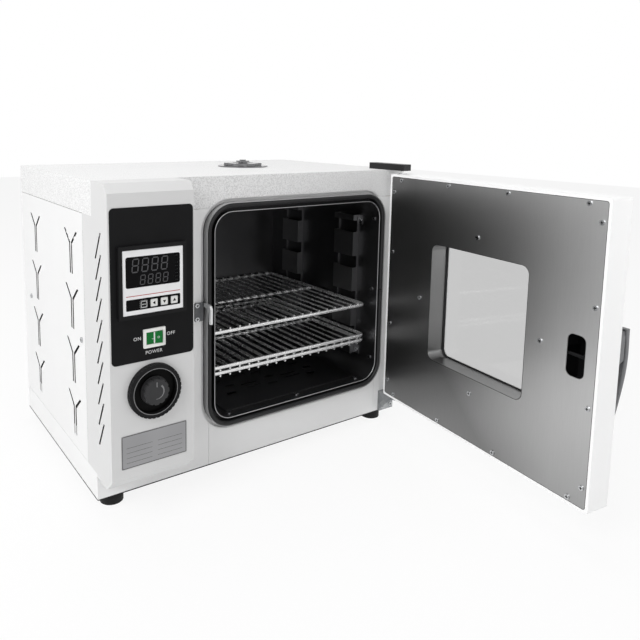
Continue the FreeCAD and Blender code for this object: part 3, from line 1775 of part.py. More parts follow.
def chamber_screws():
    screws = collar_screws()
    screws += [small_screw("x", cham_x0 + cover_t, 1, y, z) for y, z in cover_screw_places()]
    for x, y, z in wall_screw_places():
        side = 1 if x == cham_x0 else -1
        screws.append(small_screw("x", x + side * upright_t, side, y, z))
    screws += [small_screw("y", y_f - striker_plate_t, -1, x, z) for x, z in striker_screw_places()]
    return group(screws)


def write(node, shape):
    shape.exportStep("parts/" + node + ".step")


def main():
    os.makedirs("parts", exist_ok=True)
    fixed = (
        base_pan, left_side_panel, right_side_panel, back_panel, top_cover, fascia, front_sheets,
        mouth_frame, thermal_break, door_seal, chamber_liner, heater_well, floor_plate,
        tubular_heaters, insulation_pads, bay_partition, shelf_uprights, fan_case, fan_cover,
        fan_rotor, fan_motor, temperature_probe, exhaust_collar, exhaust_shutter, top_hinge_arm,
        top_hinge_cap, hinge_pins, bottom_hinge_bracket, striker, control_overlay, meter_case,
        meter_plate, meter_screen, switch_case, power_rocker, dial_body, dial_knob, rubber_feet,
        cabinet_screws, chamber_screws, power_gland, bay_blocks,
    )
    hung = (
        door_shell, door_liner, window_pane, pane_cushion, door_insulation, door_screws, door_bushes,
        latch_case, latch_pawl, handle_base, handle_lever,
    )
    for piece in fixed:
        write(piece.__name__, piece())
    for piece in hung:
        write(piece.__name__, swing(piece()))
    for node, z, up in shelf_places():
        write(node, wire_shelf(z, up))
    for i, x in enumerate(key_places()):
        write("meter_key_" + str(i + 1), meter_key(x))


main()
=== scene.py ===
import bmesh
import bpy
import json
import math
from mathutils import Matrix, Vector


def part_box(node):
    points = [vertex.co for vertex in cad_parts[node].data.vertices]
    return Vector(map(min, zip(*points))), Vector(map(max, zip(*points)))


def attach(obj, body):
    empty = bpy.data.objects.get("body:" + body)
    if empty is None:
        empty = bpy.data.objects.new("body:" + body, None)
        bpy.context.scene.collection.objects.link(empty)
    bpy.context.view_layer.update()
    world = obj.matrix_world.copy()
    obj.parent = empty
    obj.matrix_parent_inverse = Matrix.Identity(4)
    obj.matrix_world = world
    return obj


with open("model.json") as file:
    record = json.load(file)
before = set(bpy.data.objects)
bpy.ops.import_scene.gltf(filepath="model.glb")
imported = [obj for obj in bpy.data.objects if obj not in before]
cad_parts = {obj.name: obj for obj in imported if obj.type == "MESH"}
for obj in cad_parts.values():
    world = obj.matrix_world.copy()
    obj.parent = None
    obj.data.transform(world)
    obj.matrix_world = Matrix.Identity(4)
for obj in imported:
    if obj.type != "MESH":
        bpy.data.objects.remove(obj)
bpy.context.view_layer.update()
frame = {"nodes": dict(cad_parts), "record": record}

MM = 0.001

# Places and sizes on the object, in millimetres in the frame's own axes, the door's as if it were shut.
# A name that ends in _Y is a depth. A pair is across and up, or width and height; the door's axis is across
# and deep.
PANEL_Y = -243.8
FASCIA_Y = -243.2
METER_PLATE_Y = -249.3
METER_SCREEN_Y = -248.8
KEY_Y = -250.1
KEY_Z = 313.2
KEY_X = (-242.0, -227.4, -212.8, -198.2)
SCREEN_CENTRE = (-227.8, 356.5)
RED_LINE_Z = 325.4
STRIP_Z = 313.6
CAPS_HEIGHT = 4.6
ROCKER = (-225.5, 264.2)
ROCKER_LEAN = math.radians(-14.3)
RIDGE_Y = -245.7
LEFT_PAD_Y = -245.4
RIGHT_PAD_Y = -246.98
DIAL_PLACE = (-226.7, 191.0)
DIAL_FRONT_Y = -251.2
KNOB_FRONT_Y = -254.2
NAME_PLATE = (-225.8, 112.2)
NAME_SIZE = (95.5, 46.5)
NAME_THICK = 0.6
DOOR_AXIS = (262.5, -214.5)
DOOR_OPEN = math.radians(83)
WINDOW_SIZE = (192.0, 192.0)
WINDOW_ROUND = 12.0
LINER_ROUND = 3.0
LINER_FACE_Y = -194.92
SLOT_CENTRE = (-114.0, 260.5)
CHAMBER_CENTRE = (64.0, 255.0)
CHAMBER_SIZE = (334.0, 324.0)
CHAMBER_ROUND = 30.0
HEM_Y = -192.4
SEAL_LIP_Y = -182.4
SEAL_LIP_DEPTH = 11.4

# Cross recess of a screw, as shares of its head's radius: length, width and depth of the modelled arms,
# and half the sizes of the painted ones. The full width is a span past both sides of the cabinet.
CROSS_ARM = 1.15
CROSS_WIDTH = 0.3
CROSS_DEPTH = 0.06
PAINTED_ARMS = ((0.57, 0.15), (0.15, 0.57))
FULL_WIDTH = 400

# Where a finish changes on its piece, in millimetres: the dial's dish gives way to its rim, the striker's plate
# to its claw, and the liner's painted shade deepens towards the hinge and towards its foot
DISH_EDGE = (30.6, 31.2)
CLAW_Y = (-188.4, -189.4)
SHADE_Y = (-560, -250)
SHADE_Z = (230, 70)

# Thickness of print, and half the thickness of lettering, in millimetres
PRINT = 0.08
THIN_PRINT = 0.05
TYPE_PRINT = 0.03


def linear(code):
    """Turns an sRGB hex colour into linear values with a full alpha."""
    out = []
    for i in (1, 3, 5):
        c = int(code[i:i + 2], 16) / 255
        out.append(c / 12.92 if c <= 0.04045 else ((c + 0.055) / 1.055) ** 2.4)
    return (*out, 1.0)


def add_node(tree, kind, inputs=None, **settings):
    """Adds one node with its settings, values and links, and returns its outputs."""
    node = tree.nodes.new(kind)
    for name, value in settings.items():
        setattr(node, name, value)
    for key, value in (inputs or {}).items():
        for part in value if isinstance(value, list) else [value]:
            if isinstance(part, bpy.types.NodeSocket):
                tree.links.new(part, node.inputs[key])
            else:
                node.inputs[key].default_value = part
    return node.outputs


# Finishes

def finish(name, build, *values):
    """A material whose surface build() makes from the piece's own coordinates."""
    material = bpy.data.materials.new(name)
    material.use_nodes = True
    tree = material.node_tree
    tree.nodes.clear()
    place = add_node(tree, "ShaderNodeTexCoord")["Object"]
    add_node(tree, "ShaderNodeOutputMaterial", {"Surface": build(tree, place, *values)})
    return material


def inside_box(tree, place, low, high):
    """1 where the surface lies between two corners in millimetres, else 0."""
    centre = tuple((a + b) / 2 * MM for a, b in zip(low, high))
    half = tuple((b - a) / 2 * MM for a, b in zip(low, high))
    shifted = add_node(tree, "ShaderNodeVectorMath", {0: place, 1: centre}, operation="SUBTRACT")[0]
    share = add_node(tree, "ShaderNodeVectorMath", {0: shifted, 1: half}, operation="DIVIDE")[0]
    share = add_node(tree, "ShaderNodeVectorMath", {0: share}, operation="ABSOLUTE")[0]
    axes = add_node(tree, "ShaderNodeSeparateXYZ", {"Vector": share})
    most = add_node(tree, "ShaderNodeMath", {0: axes["X"], 1: axes["Y"]}, operation="MAXIMUM")[0]
    most = add_node(tree, "ShaderNodeMath", {0: most, 1: axes["Z"]}, operation="MAXIMUM")[0]
    return add_node(tree, "ShaderNodeMath", {0: most, 1: 1.0}, operation="LESS_THAN")[0]


def powder_coat(tree, place, pale, deep, shade_boxes=()):
    """Polyester powder baked on sheet steel: orange peel about 2 mm across softens what its satin skin mirrors.

    Painted shade: inside each box given by two corners the colour turns near black and the shine drops, for the
    shadow in slits and seam gaps, where the cut edges are also bare."""
    peel = add_node(tree, "ShaderNodeTexNoise", {
        "Vector": place, "Scale": 1 / (2.0 * MM), "Detail": 2.0})["Fac"]
    cloud = add_node(tree, "ShaderNodeTexNoise", {
        "Vector": place, "Scale": 1 / (120 * MM), "Detail": 3.0})["Fac"]
    tone = add_node(tree, "ShaderNodeMix", {0: cloud, 6: linear(pale), 7: linear(deep)}, data_type="RGBA")[2]
    gloss = add_node(tree, "ShaderNodeMapRange", {"Value": peel, "To Min": 0.34, "To Max": 0.5})[0]
    skin = add_node(tree, "ShaderNodeBump", {"Height": peel, "Distance": 0.06 * MM, "Strength": 0.5})[0]
    shine = 0.5
    # Painted shade: near-black colour with little shine in each box, for the shadow in its slits and seam
    for corners in shade_boxes:
        slit_shade = inside_box(tree, place, *corners)
        tone = add_node(tree, "ShaderNodeMix", {0: slit_shade, 6: tone, 7: linear("#060606")}, data_type="RGBA")[2]
        shine = add_node(tree, "ShaderNodeMix", {0: slit_shade, 2: shine, 3: 0.05}, data_type="FLOAT")[0]
    return add_node(tree, "ShaderNodeBsdfPrincipled", {
        "Base Color": tone, "Roughness": gloss, "Normal": skin, "IOR": 1.5, "Specular IOR Level": shine})[0]


def sand_coat(tree, place, pale, deep):
    """Fine-texture powder coat: grains about 1.5 mm apart stand up, and their speckle is painted shade in the
    colour, dark flecks that fade out towards +X, for light grazing the grains.
    """
    grain = add_node(tree, "ShaderNodeTexNoise", {
        "Vector": place, "Scale": 1 / (1.5 * MM), "Detail": 3.0})["Fac"]
    grain_shade = add_node(tree, "ShaderNodeMapRange", {"Value": grain, "From Min": 0.38, "From Max": 0.58})[0]
    across = add_node(tree, "ShaderNodeSeparateXYZ", {"Vector": place})["X"]
    # Painted shade: the dark flecks of the grains fade out towards +X, where the light no longer grazes
    even = add_node(tree, "ShaderNodeMapRange", {"Value": across, "From Max": 0.22, "To Max": 0.7})[0]
    grain_shade = add_node(tree, "ShaderNodeMix", {0: even, 2: grain_shade, 3: 0.6}, data_type="FLOAT")[0]
    tone = add_node(tree, "ShaderNodeMix", {0: grain_shade, 6: linear(deep), 7: linear(pale)}, data_type="RGBA")[2]
    skin = add_node(tree, "ShaderNodeBump", {"Height": grain, "Distance": 0.25 * MM, "Strength": 0.6})[0]
    return add_node(tree, "ShaderNodeBsdfPrincipled", {
        "Base Color": tone, "Roughness": 0.5, "Normal": skin, "IOR": 1.5})[0]


def ground_stainless(tree, place, pale, deep, stretch, rough):
    """Belt-ground stainless sheet: scratches 0.6 mm apart run one way, and clouds of polish drift over it."""
    lines = add_node(tree, "ShaderNodeMapping", {"Vector": place, "Scale": stretch})[0]
    scratch = add_node(tree, "ShaderNodeTexNoise", {
        "Vector": lines, "Scale": 1 / (0.6 * MM), "Detail": 2.0})["Fac"]
    cloud = add_node(tree, "ShaderNodeTexNoise", {
        "Vector": place, "Scale": 1 / (80 * MM), "Detail": 1.0})["Fac"]
    tone = add_node(tree, "ShaderNodeMix", {0: cloud, 6: linear(pale), 7: linear(deep)}, data_type="RGBA")[2]
    gloss = add_node(tree, "ShaderNodeMapRange", {
        "Value": scratch, "To Min": rough - 0.04, "To Max": rough + 0.04})[0]
    skin = add_node(tree, "ShaderNodeBump", {"Height": scratch, "Distance": 0.006 * MM, "Strength": 0.15})[0]
    return add_node(tree, "ShaderNodeBsdfPrincipled", {
        "Base Color": tone, "Metallic": 1.0, "Roughness": gloss, "Normal": skin})[0]


def shaded_liner(tree, place):
    """Ground stainless door liner: fine upright scratches, and painted shade with a faint random drift that
    darkens it towards the hinge and towards its foot.
    """
    lines = add_node(tree, "ShaderNodeMapping", {"Vector": place, "Scale": (1, 1, 0.02)})[0]
    scratch = add_node(tree, "ShaderNodeTexNoise", {
        "Vector": lines, "Scale": 1 / (0.6 * MM), "Detail": 2.0})["Fac"]
    out = add_node(tree, "ShaderNodeSeparateXYZ", {"Vector": place})["Y"]
    drift = add_node(tree, "ShaderNodeTexNoise", {
        "Vector": place, "Scale": 1 / (150 * MM), "Detail": 1.0})["Fac"]
    # Painted shade: the liner's colour darkens towards the hinge and towards its foot
    liner_shade = add_node(tree, "ShaderNodeMapRange", {
        "Value": out, "From Min": SHADE_Y[0] * MM, "From Max": SHADE_Y[1] * MM})[0]
    liner_shade = add_node(tree, "ShaderNodeMath", {0: drift, 1: 0.15, 2: liner_shade}, operation="MULTIPLY_ADD")[0]
    up = add_node(tree, "ShaderNodeSeparateXYZ", {"Vector": place})["Z"]
    low = add_node(tree, "ShaderNodeMapRange", {
        "Value": up, "From Min": SHADE_Z[0] * MM, "From Max": SHADE_Z[1] * MM, "To Max": 0.55})[0]
    liner_shade = add_node(tree, "ShaderNodeMath", {0: liner_shade, 1: low}, operation="ADD", use_clamp=True)[0]
    tone = add_node(tree, "ShaderNodeMix", {
        0: liner_shade, 6: linear("#D2D2D2"), 7: linear("#828282")}, data_type="RGBA")[2]
    streak = add_node(tree, "ShaderNodeMix", {
        0: scratch, 6: (1, 1, 1, 1), 7: (0.9, 0.9, 0.9, 1)}, data_type="RGBA")[2]
    tone = add_node(tree, "ShaderNodeMix", {
        0: 1.0, 6: tone, 7: streak}, data_type="RGBA", blend_type="MULTIPLY")[2]
    gloss = add_node(tree, "ShaderNodeMapRange", {"Value": scratch, "To Min": 0.32, "To Max": 0.38})[0]
    skin = add_node(tree, "ShaderNodeBump", {"Height": scratch, "Distance": 0.005 * MM, "Strength": 0.12})[0]
    return add_node(tree, "ShaderNodeBsdfPrincipled", {
        "Base Color": tone, "Metallic": 1.0, "Roughness": gloss, "Normal": skin})[0]


def plated_steel(tree, place, pale, deep, rough, patch, metal=1.0):
    """Plated steel: bright metal whose tone and gloss change a little in patches of the given size."""
    cloud = add_node(tree, "ShaderNodeTexNoise", {
        "Vector": place, "Scale": 1 / (patch * MM), "Detail": 3.0})["Fac"]
    tone = add_node(tree, "ShaderNodeMix", {0: cloud, 6: linear(pale), 7: linear(deep)}, data_type="RGBA")[2]
    gloss = add_node(tree, "ShaderNodeMapRange", {
        "Value": cloud, "To Min": rough * 0.7, "To Max": rough * 1.3})[0]
    return add_node(tree, "ShaderNodeBsdfPrincipled", {
        "Base Color": tone, "Metallic": metal, "Roughness": gloss})[0]


def side_screw_zinc(tree, place, heads):
    """Zinc-plated screws: bright heads, and a dark cross painted on each side head as the shade in its recess.

    The cross is told by its place, because the side heads are the widest points of the object."""
    bright = plated_steel(tree, place, "#CFD0D1", "#A9ABAD", 0.26, 3)
    recess_shade = plated_steel(tree, place, "#222223", "#161617", 0.6, 2)
    cross = 0.0
    for y, z, radius in heads:
        for half_y, half_z in PAINTED_ARMS:
            low = (-FULL_WIDTH, y - half_y * radius, z - half_z * radius)
            high = (FULL_WIDTH, y + half_y * radius, z + half_z * radius)
            arm = inside_box(tree, place, low, high)
            cross = add_node(tree, "ShaderNodeMath", {0: cross, 1: arm}, operation="MAXIMUM")[0]
    return add_node(tree, "ShaderNodeMixShader", {0: cross, 1: bright, 2: recess_shade})[0]


def zinc_spangle(tree, place):
    """Hot-dip galvanised sheet: zinc crystals about 9 mm across, each with its own grey."""
    cell = add_node(tree, "ShaderNodeTexVoronoi", {"Vector": place, "Scale": 1 / (9 * MM)})["Color"]
    share = add_node(tree, "ShaderNodeSeparateColor", {"Color": cell})[0]
    tone = add_node(tree, "ShaderNodeMix", {
        0: share, 6: linear("#A9ABAC"), 7: linear("#8E9092")}, data_type="RGBA")[2]
    gloss = add_node(tree, "ShaderNodeMapRange", {"Value": share, "To Min": 0.38, "To Max": 0.52})[0]
    return add_node(tree, "ShaderNodeBsdfPrincipled", {
        "Base Color": tone, "Metallic": 1.0, "Roughness": gloss})[0]


def moulded(tree, place, pale, deep, rough, grit, depth, shine=0.5):
    """Moulded plastic or rubber: the spark-eroded mould leaves a fine grit that breaks the gloss."""
    fine = add_node(tree, "ShaderNodeTexNoise", {
        "Vector": place, "Scale": 1 / (grit * MM), "Detail": 2.0})["Fac"]
    cloud = add_node(tree, "ShaderNodeTexNoise", {
        "Vector": place, "Scale": 1 / (30 * MM), "Detail": 2.0})["Fac"]
    tone = add_node(tree, "ShaderNodeMix", {0: cloud, 6: linear(pale), 7: linear(deep)}, data_type="RGBA")[2]
    gloss = add_node(tree, "ShaderNodeMapRange", {
        "Value": fine, "To Min": rough - 0.05, "To Max": rough + 0.05})[0]
    skin = add_node(tree, "ShaderNodeBump", {"Height": fine, "Distance": depth * MM, "Strength": 0.6})[0]
    return add_node(tree, "ShaderNodeBsdfPrincipled", {
        "Base Color": tone, "Roughness": gloss, "Normal": skin, "IOR": 1.47, "Specular IOR Level": shine})[0]


def dial_plastic(tree, place):
    """Moulded dial: a charcoal rim round a gloss black dish, told apart by distance from the dial's axis."""
    flat = add_node(tree, "ShaderNodeMapping", {
        "Vector": place, "Location": (-DIAL_PLACE[0] * MM, 0, -DIAL_PLACE[1] * MM)}, vector_type="POINT")[0]
    level = add_node(tree, "ShaderNodeVectorMath", {0: flat, 1: (1, 0, 1)}, operation="MULTIPLY")[0]
    reach = add_node(tree, "ShaderNodeVectorMath", {0: level}, operation="LENGTH")["Value"]
    rim = add_node(tree, "ShaderNodeMapRange", {
        "Value": reach, "From Min": DISH_EDGE[0] * MM, "From Max": DISH_EDGE[1] * MM})[0]
    grit = add_node(tree, "ShaderNodeTexNoise", {"Vector": place, "Scale": 1 / (0.8 * MM)})["Fac"]
    tone = add_node(tree, "ShaderNodeMix", {
        0: rim, 6: linear("#030303"), 7: linear("#1F1F20")}, data_type="RGBA")[2]
    gloss = add_node(tree, "ShaderNodeMapRange", {"Value": rim, "To Min": 0.35, "To Max": 0.42})[0]
    skin = add_node(tree, "ShaderNodeBump", {"Height": grit, "Distance": 0.02 * MM, "Strength": 0.5})[0]
    return add_node(tree, "ShaderNodeBsdfPrincipled", {
        "Base Color": tone, "Roughness": gloss, "Normal": skin, "IOR": 1.47, "Specular IOR Level": 0.07})[0]


def striker_zinc(tree, place):
    """Zinc-plated striker: a grey plate darkened as painted shade, and a claw painted near white as a
    highlight.
    """
    depth = add_node(tree, "ShaderNodeSeparateXYZ", {"Vector": place})["Y"]
    claw = add_node(tree, "ShaderNodeMapRange", {
        "Value": depth, "From Min": CLAW_Y[0] * MM, "From Max": CLAW_Y[1] * MM})[0]
    cloud = add_node(tree, "ShaderNodeTexNoise", {
        "Vector": place, "Scale": 1 / (4 * MM), "Detail": 3.0})["Fac"]
    # Painted shade on the plate and a painted highlight on the claw, split by depth
    shaded_plate = add_node(tree, "ShaderNodeMix", {
        0: cloud, 6: linear("#6C6D6F"), 7: linear("#58595B")}, data_type="RGBA")[2]
    tone = add_node(tree, "ShaderNodeMix", {0: claw, 6: shaded_plate, 7: linear("#E4E5E6")}, data_type="RGBA")[2]
    gloss = add_node(tree, "ShaderNodeMapRange", {"Value": claw, "To Min": 0.5, "To Max": 0.24})[0]
    metal = add_node(tree, "ShaderNodeMapRange", {"Value": claw, "To Min": 1.0, "To Max": 0.45})[0]
    return add_node(tree, "ShaderNodeBsdfPrincipled", {
        "Base Color": tone, "Metallic": metal, "Roughness": gloss})[0]


def mineral_wool(tree, place):
    """Resin-bonded mineral wool: matt, straw-coloured and fibrous, with strands about 3 mm apart."""
    lay = add_node(tree, "ShaderNodeMapping", {"Vector": place, "Scale": (1, 1, 0.2)})[0]
    strand = add_node(tree, "ShaderNodeTexNoise", {
        "Vector": lay, "Scale": 1 / (3 * MM), "Detail": 5.0})["Fac"]
    tone = add_node(tree, "ShaderNodeMix", {
        0: strand, 6: linear("#C9BC8B"), 7: linear("#9C8C58")}, data_type="RGBA")[2]
    nap = add_node(tree, "ShaderNodeBump", {"Height": strand, "Distance": 1.2 * MM})[0]
    return add_node(tree, "ShaderNodeBsdfPrincipled", {
        "Base Color": tone, "Roughness": 0.95, "Normal": nap})[0]


def float_glass(tree, place):
    """Toughened float glass: clear and smooth, a touch grey, with a long faint roller wave."""
    wave = add_node(tree, "ShaderNodeTexNoise", {
        "Vector": place, "Scale": 1 / (60 * MM), "Detail": 0.0})["Fac"]
    skin = add_node(tree, "ShaderNodeBump", {"Height": wave, "Distance": 0.02 * MM, "Strength": 0.2})[0]
    return add_node(tree, "ShaderNodeBsdfPrincipled", {
        "Base Color": linear("#CFCFCF"), "Transmission Weight": 1.0, "Roughness": 0.05, "IOR": 1.3,
        "Normal": skin})[0]


def printed_ink(tree, place, pale, deep):
    """Screen-printed ink: a thin matt film whose tone varies a little with the mesh it was pushed through."""
    mesh = add_node(tree, "ShaderNodeTexNoise", {
        "Vector": place, "Scale": 1 / (0.9 * MM), "Detail": 1.0})["Fac"]
    tone = add_node(tree, "ShaderNodeMix", {0: mesh, 6: linear(pale), 7: linear(deep)}, data_type="RGBA")[2]
    return add_node(tree, "ShaderNodeBsdfPrincipled", {
        "Base Color": tone, "Roughness": 0.55, "Specular IOR Level": 0.15})[0]


# Corners, in millimetres, of the boxes in which a coated sheet gets painted shade, near black, for the shadow
# inside its slits and a seam gap
SIDE_SLITS = ((-286.9, -170, 95), (-284, 175, 400))
SIDE_SEAM = ((-286.9, -185, 422.6), (-272, 185, 423.6))
BOX_SLITS = ((-286.9, -212, 100), (-284, -186, 415))

# Powder coats: white satin on the sheets, a shade greyer on the control box, purest on the door,
# and a sand-like texture on the top cover whose speckle is painted shade of grazing light
COAT = finish("satin_powder_coat", powder_coat, "#EFEFEF", "#E9E9E9")
SIDE_COAT = finish("side_powder_coat", powder_coat, "#EDEDED", "#E6E6E6", (SIDE_SLITS, SIDE_SEAM))
DOOR_COAT = finish("door_powder_coat", powder_coat, "#FCFCFC", "#F7F7F7")
TEXTURED_COAT = finish("textured_powder_coat", sand_coat, "#F2F2F2", "#D2D2D2")
FASCIA_COAT = finish("fascia_powder_coat", powder_coat, "#D8D8D8", "#D2D2D2", (BOX_SLITS,))

# Ground stainless: the door's liner mirrors the room with painted shade towards the hinge, the chamber is
# painted dark grey for the shade inside it, the stamped uprights keep more shine, and the rolled hems catch a
# thin bright line
LINER_STEEL = finish("shade_graded_stainless", shaded_liner)
# Painted shade: the chamber's stainless gets a dark grey for the dim light inside it
CHAMBER_STEEL = finish("shade_darkened_stainless", ground_stainless, "#5C5C5D", "#4E4E50", (1, 1, 0.03), 0.38)
POST_STEEL = finish("stamped_stainless_upright", ground_stainless, "#8E8E8F", "#7E7E80", (1, 1, 0.03), 0.35)
BEAD_STEEL = finish("rolled_stainless_hem", plated_steel, "#B2B2B3", "#A0A0A1", 0.32, 40)

# Zinc: patchwork crystals on the galvanised sheets, a satin sparkle on the screws,
# and a striker whose plate is darkened by painted shade and whose claw is a painted highlight
GALVANISED = finish("galvanised_sheet", zinc_spangle)
SCREW_ZINC = finish("zinc_plated_screw", plated_steel, "#CFD0D1", "#A9ABAD", 0.26, 3)
STRIKER = finish("zinc_striker", striker_zinc)

# Chrome: white highlights along the shelf wires, and a cloudy darker plate on the exhaust
CHROME = finish("bright_chrome_plate", plated_steel, "#EDEDED", "#DDDDDD", 0.28, 14, 0.8)
DARK_CHROME = finish("weathered_chrome_plate", plated_steel, "#8E8E8F", "#5E5E60", 0.16, 9)

# Dark steels: oxide with a dim metal sheen, satin paint, a heater sheath tinted brown,
# and painted shade in the screw recesses
# Painted shade: the latch pawl is black oxide kept near black, so the inside of the latch slot reads dark
PAWL_SHADE_OXIDE = finish("shade_black_oxide_steel", plated_steel, "#2A2A2B", "#1E1E1F", 0.45, 8)
BLACK_PAINT = finish("black_satin_paint", moulded, "#1C1C1D", "#151516", 0.36, 0.9, 0.02, 0.3)
HEATER = finish("heat_tinted_sheath", plated_steel, "#5C5148", "#453F3A", 0.45, 20)
RECESS_SHADE = finish("screw_recess_shade", plated_steel, "#222223", "#161617", 0.6, 2)

# Wool and rubber: straw-coloured fibre, a soft black seal with a pale lip whose grey is painted shade, and
# nearly black matt feet
WOOL = finish("bonded_mineral_wool", mineral_wool)
SEAL = finish("black_silicone_extrusion", moulded, "#2A2A2B", "#202021", 0.42, 1.2, 0.03, 0.25)
# Painted shade: the seal's grey outer lip stands for the white frame wall beside the seal in shade
SEAL_LIP = finish("shade_grey_lip", moulded, "#A5A5A6", "#959596", 0.5, 1.2, 0.03)
FOOT_RUBBER = finish("black_foot_rubber", moulded, "#121213", "#0B0B0C", 0.6, 1.0, 0.05, 0.3)

# Pane: a clear sheet that greys what lies behind it a little
GLASS = finish("toughened_glass", float_glass)

# Controls: satin black film and bezel, pale lacquered face, glossy near-black screen, warm white key and
# switch, deep green glossy rocker, dial plastics from gloss black to charcoal, and a mid grey handle
OVERLAY = finish("black_satin_polyester_film", moulded, "#161617", "#101011", 0.42, 0.7, 0.01, 0.1)
METER_BLACK = finish("black_instrument_abs", moulded, "#171718", "#0F0F10", 0.40, 0.7, 0.02, 0.15)
METER_SILVER = finish("silver_satin_lacquer", moulded, "#F0F0F1", "#E4E4E5", 0.32, 0.6, 0.01)
SCREEN = finish("smoked_acrylic_window", moulded, "#08080A", "#050506", 0.10, 0.9, 0.001, 0.08)
KEY_WHITE = finish("white_key_rubber", moulded, "#E6E6E4", "#DADAD8", 0.5, 0.8, 0.02)
SWITCH_WHITE = finish("white_switch_nylon", moulded, "#EFEFEC", "#E6E6E3", 0.38, 0.8, 0.01)
ROCKER_GREEN = finish("green_polycarbonate", moulded, "#04702C", "#045C25", 0.16, 0.9, 0.003, 0.2)
DIAL = finish("two_tone_dial_abs", dial_plastic)
KNOB = finish("charcoal_knob_abs", moulded, "#3A3A3B", "#303031", 0.42, 0.8, 0.03, 0.2)
HANDLE = finish("grey_handle_nylon", moulded, "#77787A", "#696A6C", 0.45, 0.9, 0.03)

# Name plate: aluminium brushed along its length, which draws a faint horizontal grain
PLATE_METAL = finish(
    "brushed_aluminium_nameplate", ground_stainless, "#ACACAD", "#88888A", (0.03, 1, 1), 0.42)

# Inks: flat matt films in white, near-black, red and grey, and display segments that are off and barely show
WHITE_INK = finish("white_panel_ink", printed_ink, "#E8E8E8", "#D8D8D8")
DARK_INK = finish("dark_panel_ink", printed_ink, "#1A1A1A", "#101010")
RED_INK = finish("red_panel_ink", printed_ink, "#B5443A", "#A03A32")
GREY_INK = finish("grey_marking_ink", printed_ink, "#8A8A8B", "#787879")
DIM_SEGMENT = finish("unlit_display_segment", printed_ink, "#565658", "#464648")

SLOT_FINISH = {
    "white_coat": COAT, "galvanised": GALVANISED, "stainless": CHAMBER_STEEL, "chrome_wire": CHROME,
    "black_steel": BLACK_PAINT, "heater_sheath": HEATER, "screw_zinc": SCREW_ZINC, "mineral_wool": WOOL,
    "seal_rubber": SEAL, "pane_glass": GLASS, "overlay_film": OVERLAY, "meter_black": METER_BLACK,
    "meter_silver": METER_SILVER, "screen_dark": SCREEN, "key_white": KEY_WHITE, "rocker_green": ROCKER_GREEN,
    "dial_grey": DIAL, "handle_grey": HANDLE,
}
NODE_FINISH = {
    "top_cover": TEXTURED_COAT, "fascia": FASCIA_COAT, "left_side_panel": SIDE_COAT, "door_shell": DOOR_COAT,
    "door_liner": LINER_STEEL,
    "shelf_uprights": POST_STEEL, "latch_pawl": PAWL_SHADE_OXIDE, "rubber_feet": FOOT_RUBBER,
    "switch_case": SWITCH_WHITE, "dial_knob": KNOB, "meter_key_1": METER_BLACK, "striker": STRIKER,
    "mouth_frame": COAT, "exhaust_collar": DARK_CHROME, "exhaust_shutter": DARK_CHROME,
}


def dress(piece, material):
    """Gives a piece that one finish."""
    piece.data.materials.clear()
    piece.data.materials.append(material)


for entry in frame["record"]["subparts"]:
    node = entry["node"]
    dress(frame["nodes"][node], NODE_FINISH.get(node, SLOT_FINISH[entry["material_slot"]]))


# Pieces added to the frame

def front_place(x, y, z):
    """Takes flat work with its face up to a front panel: its face turns to -Y, its top to +Z. Millimetres."""
    turn = Matrix(((1, 0, 0, 0), (0, 0, -1, 0), (0, 1, 0, 0), (0, 0, 0, 1)))
    return Matrix.Translation((x * MM, y * MM, z * MM)) @ turn


def add_piece(name, mesh, body, material=None):
    """Adds a mesh as a piece that rides on a body, with its finish unless the mesh has one."""
    piece = bpy.data.objects.new(name, mesh)
    bpy.context.scene.collection.objects.link(piece)
    if material:
        dress(piece, material)
    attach(piece, body)


def to_mesh(data, place):
    """Turns a curve or text into a closed mesh that faces outwards, then puts it in place."""
    draft = bpy.data.objects.new("draft", data)
    bpy.context.scene.collection.objects.link(draft)
    bpy.context.view_layer.update()
    mesh = bpy.data.meshes.new_from_object(draft.evaluated_get(bpy.context.evaluated_depsgraph_get()))
    bpy.data.objects.remove(draft)
    form = bmesh.new()
    form.from_mesh(mesh)
    bmesh.ops.remove_doubles(form, verts=form.verts, dist=0.0005 * MM)
    bmesh.ops.dissolve_degenerate(form, edges=form.edges, dist=0.0005 * MM)
    bmesh.ops.recalc_face_normals(form, faces=form.faces)
    form.transform(place)
    form.to_mesh(mesh)
    form.free()
    mesh.materials.clear()
    return mesh


def rounded(width, height, r, x=0.0, y=0.0, steps=6):
    """Corner points of a rounded rectangle about (x, y)."""
    points = []
    for quarter, (sx, sy) in enumerate(((1, 1), (-1, 1), (-1, -1), (1, -1))):
        for i in range(steps + 1):
            angle = math.pi / 2 * (quarter + i / steps)
            points.append((x + sx * (width / 2 - r) + r * math.cos(angle),
                           y + sy * (height / 2 - r) + r * math.sin(angle)))
    return points


def circle(r, x=0.0, y=0.0, steps=32):
    """Points of a closed circle."""
    return [(x + r * math.cos(2 * math.pi * i / steps), y + r * math.sin(2 * math.pi * i / steps))
            for i in range(steps)]


def outline_curve(loops, bevel=0.0, thick=0.0):
    """A flat curve of closed loops: a filled slab of that thickness with holes, or a round bead."""
    data = bpy.data.curves.new("outline", "CURVE")
    data.dimensions = "3D" if bevel else "2D"
    if bevel:
        data.bevel_depth = bevel * MM
        data.bevel_resolution = 3
    else:
        data.fill_mode = "BOTH"
        data.extrude = thick / 2 * MM
    for loop in loops:
        spline = data.splines.new("POLY")
        spline.points.add(len(loop) - 1)
        for point, (x, y) in zip(spline.points, loop):
            point.co = (x * MM, y * MM, 0, 1)
        spline.use_cyclic_u = True
    return data


def slab_piece(name, loops, thick, at, body, material):
    """A flat slab that lies on a front face: at gives its centre across and up, and the face it lies on."""
    x, y, z = at
    mesh = to_mesh(outline_curve(loops, thick=thick), front_place(x, y - thick / 2, z))
    add_piece(name, mesh, body, material)


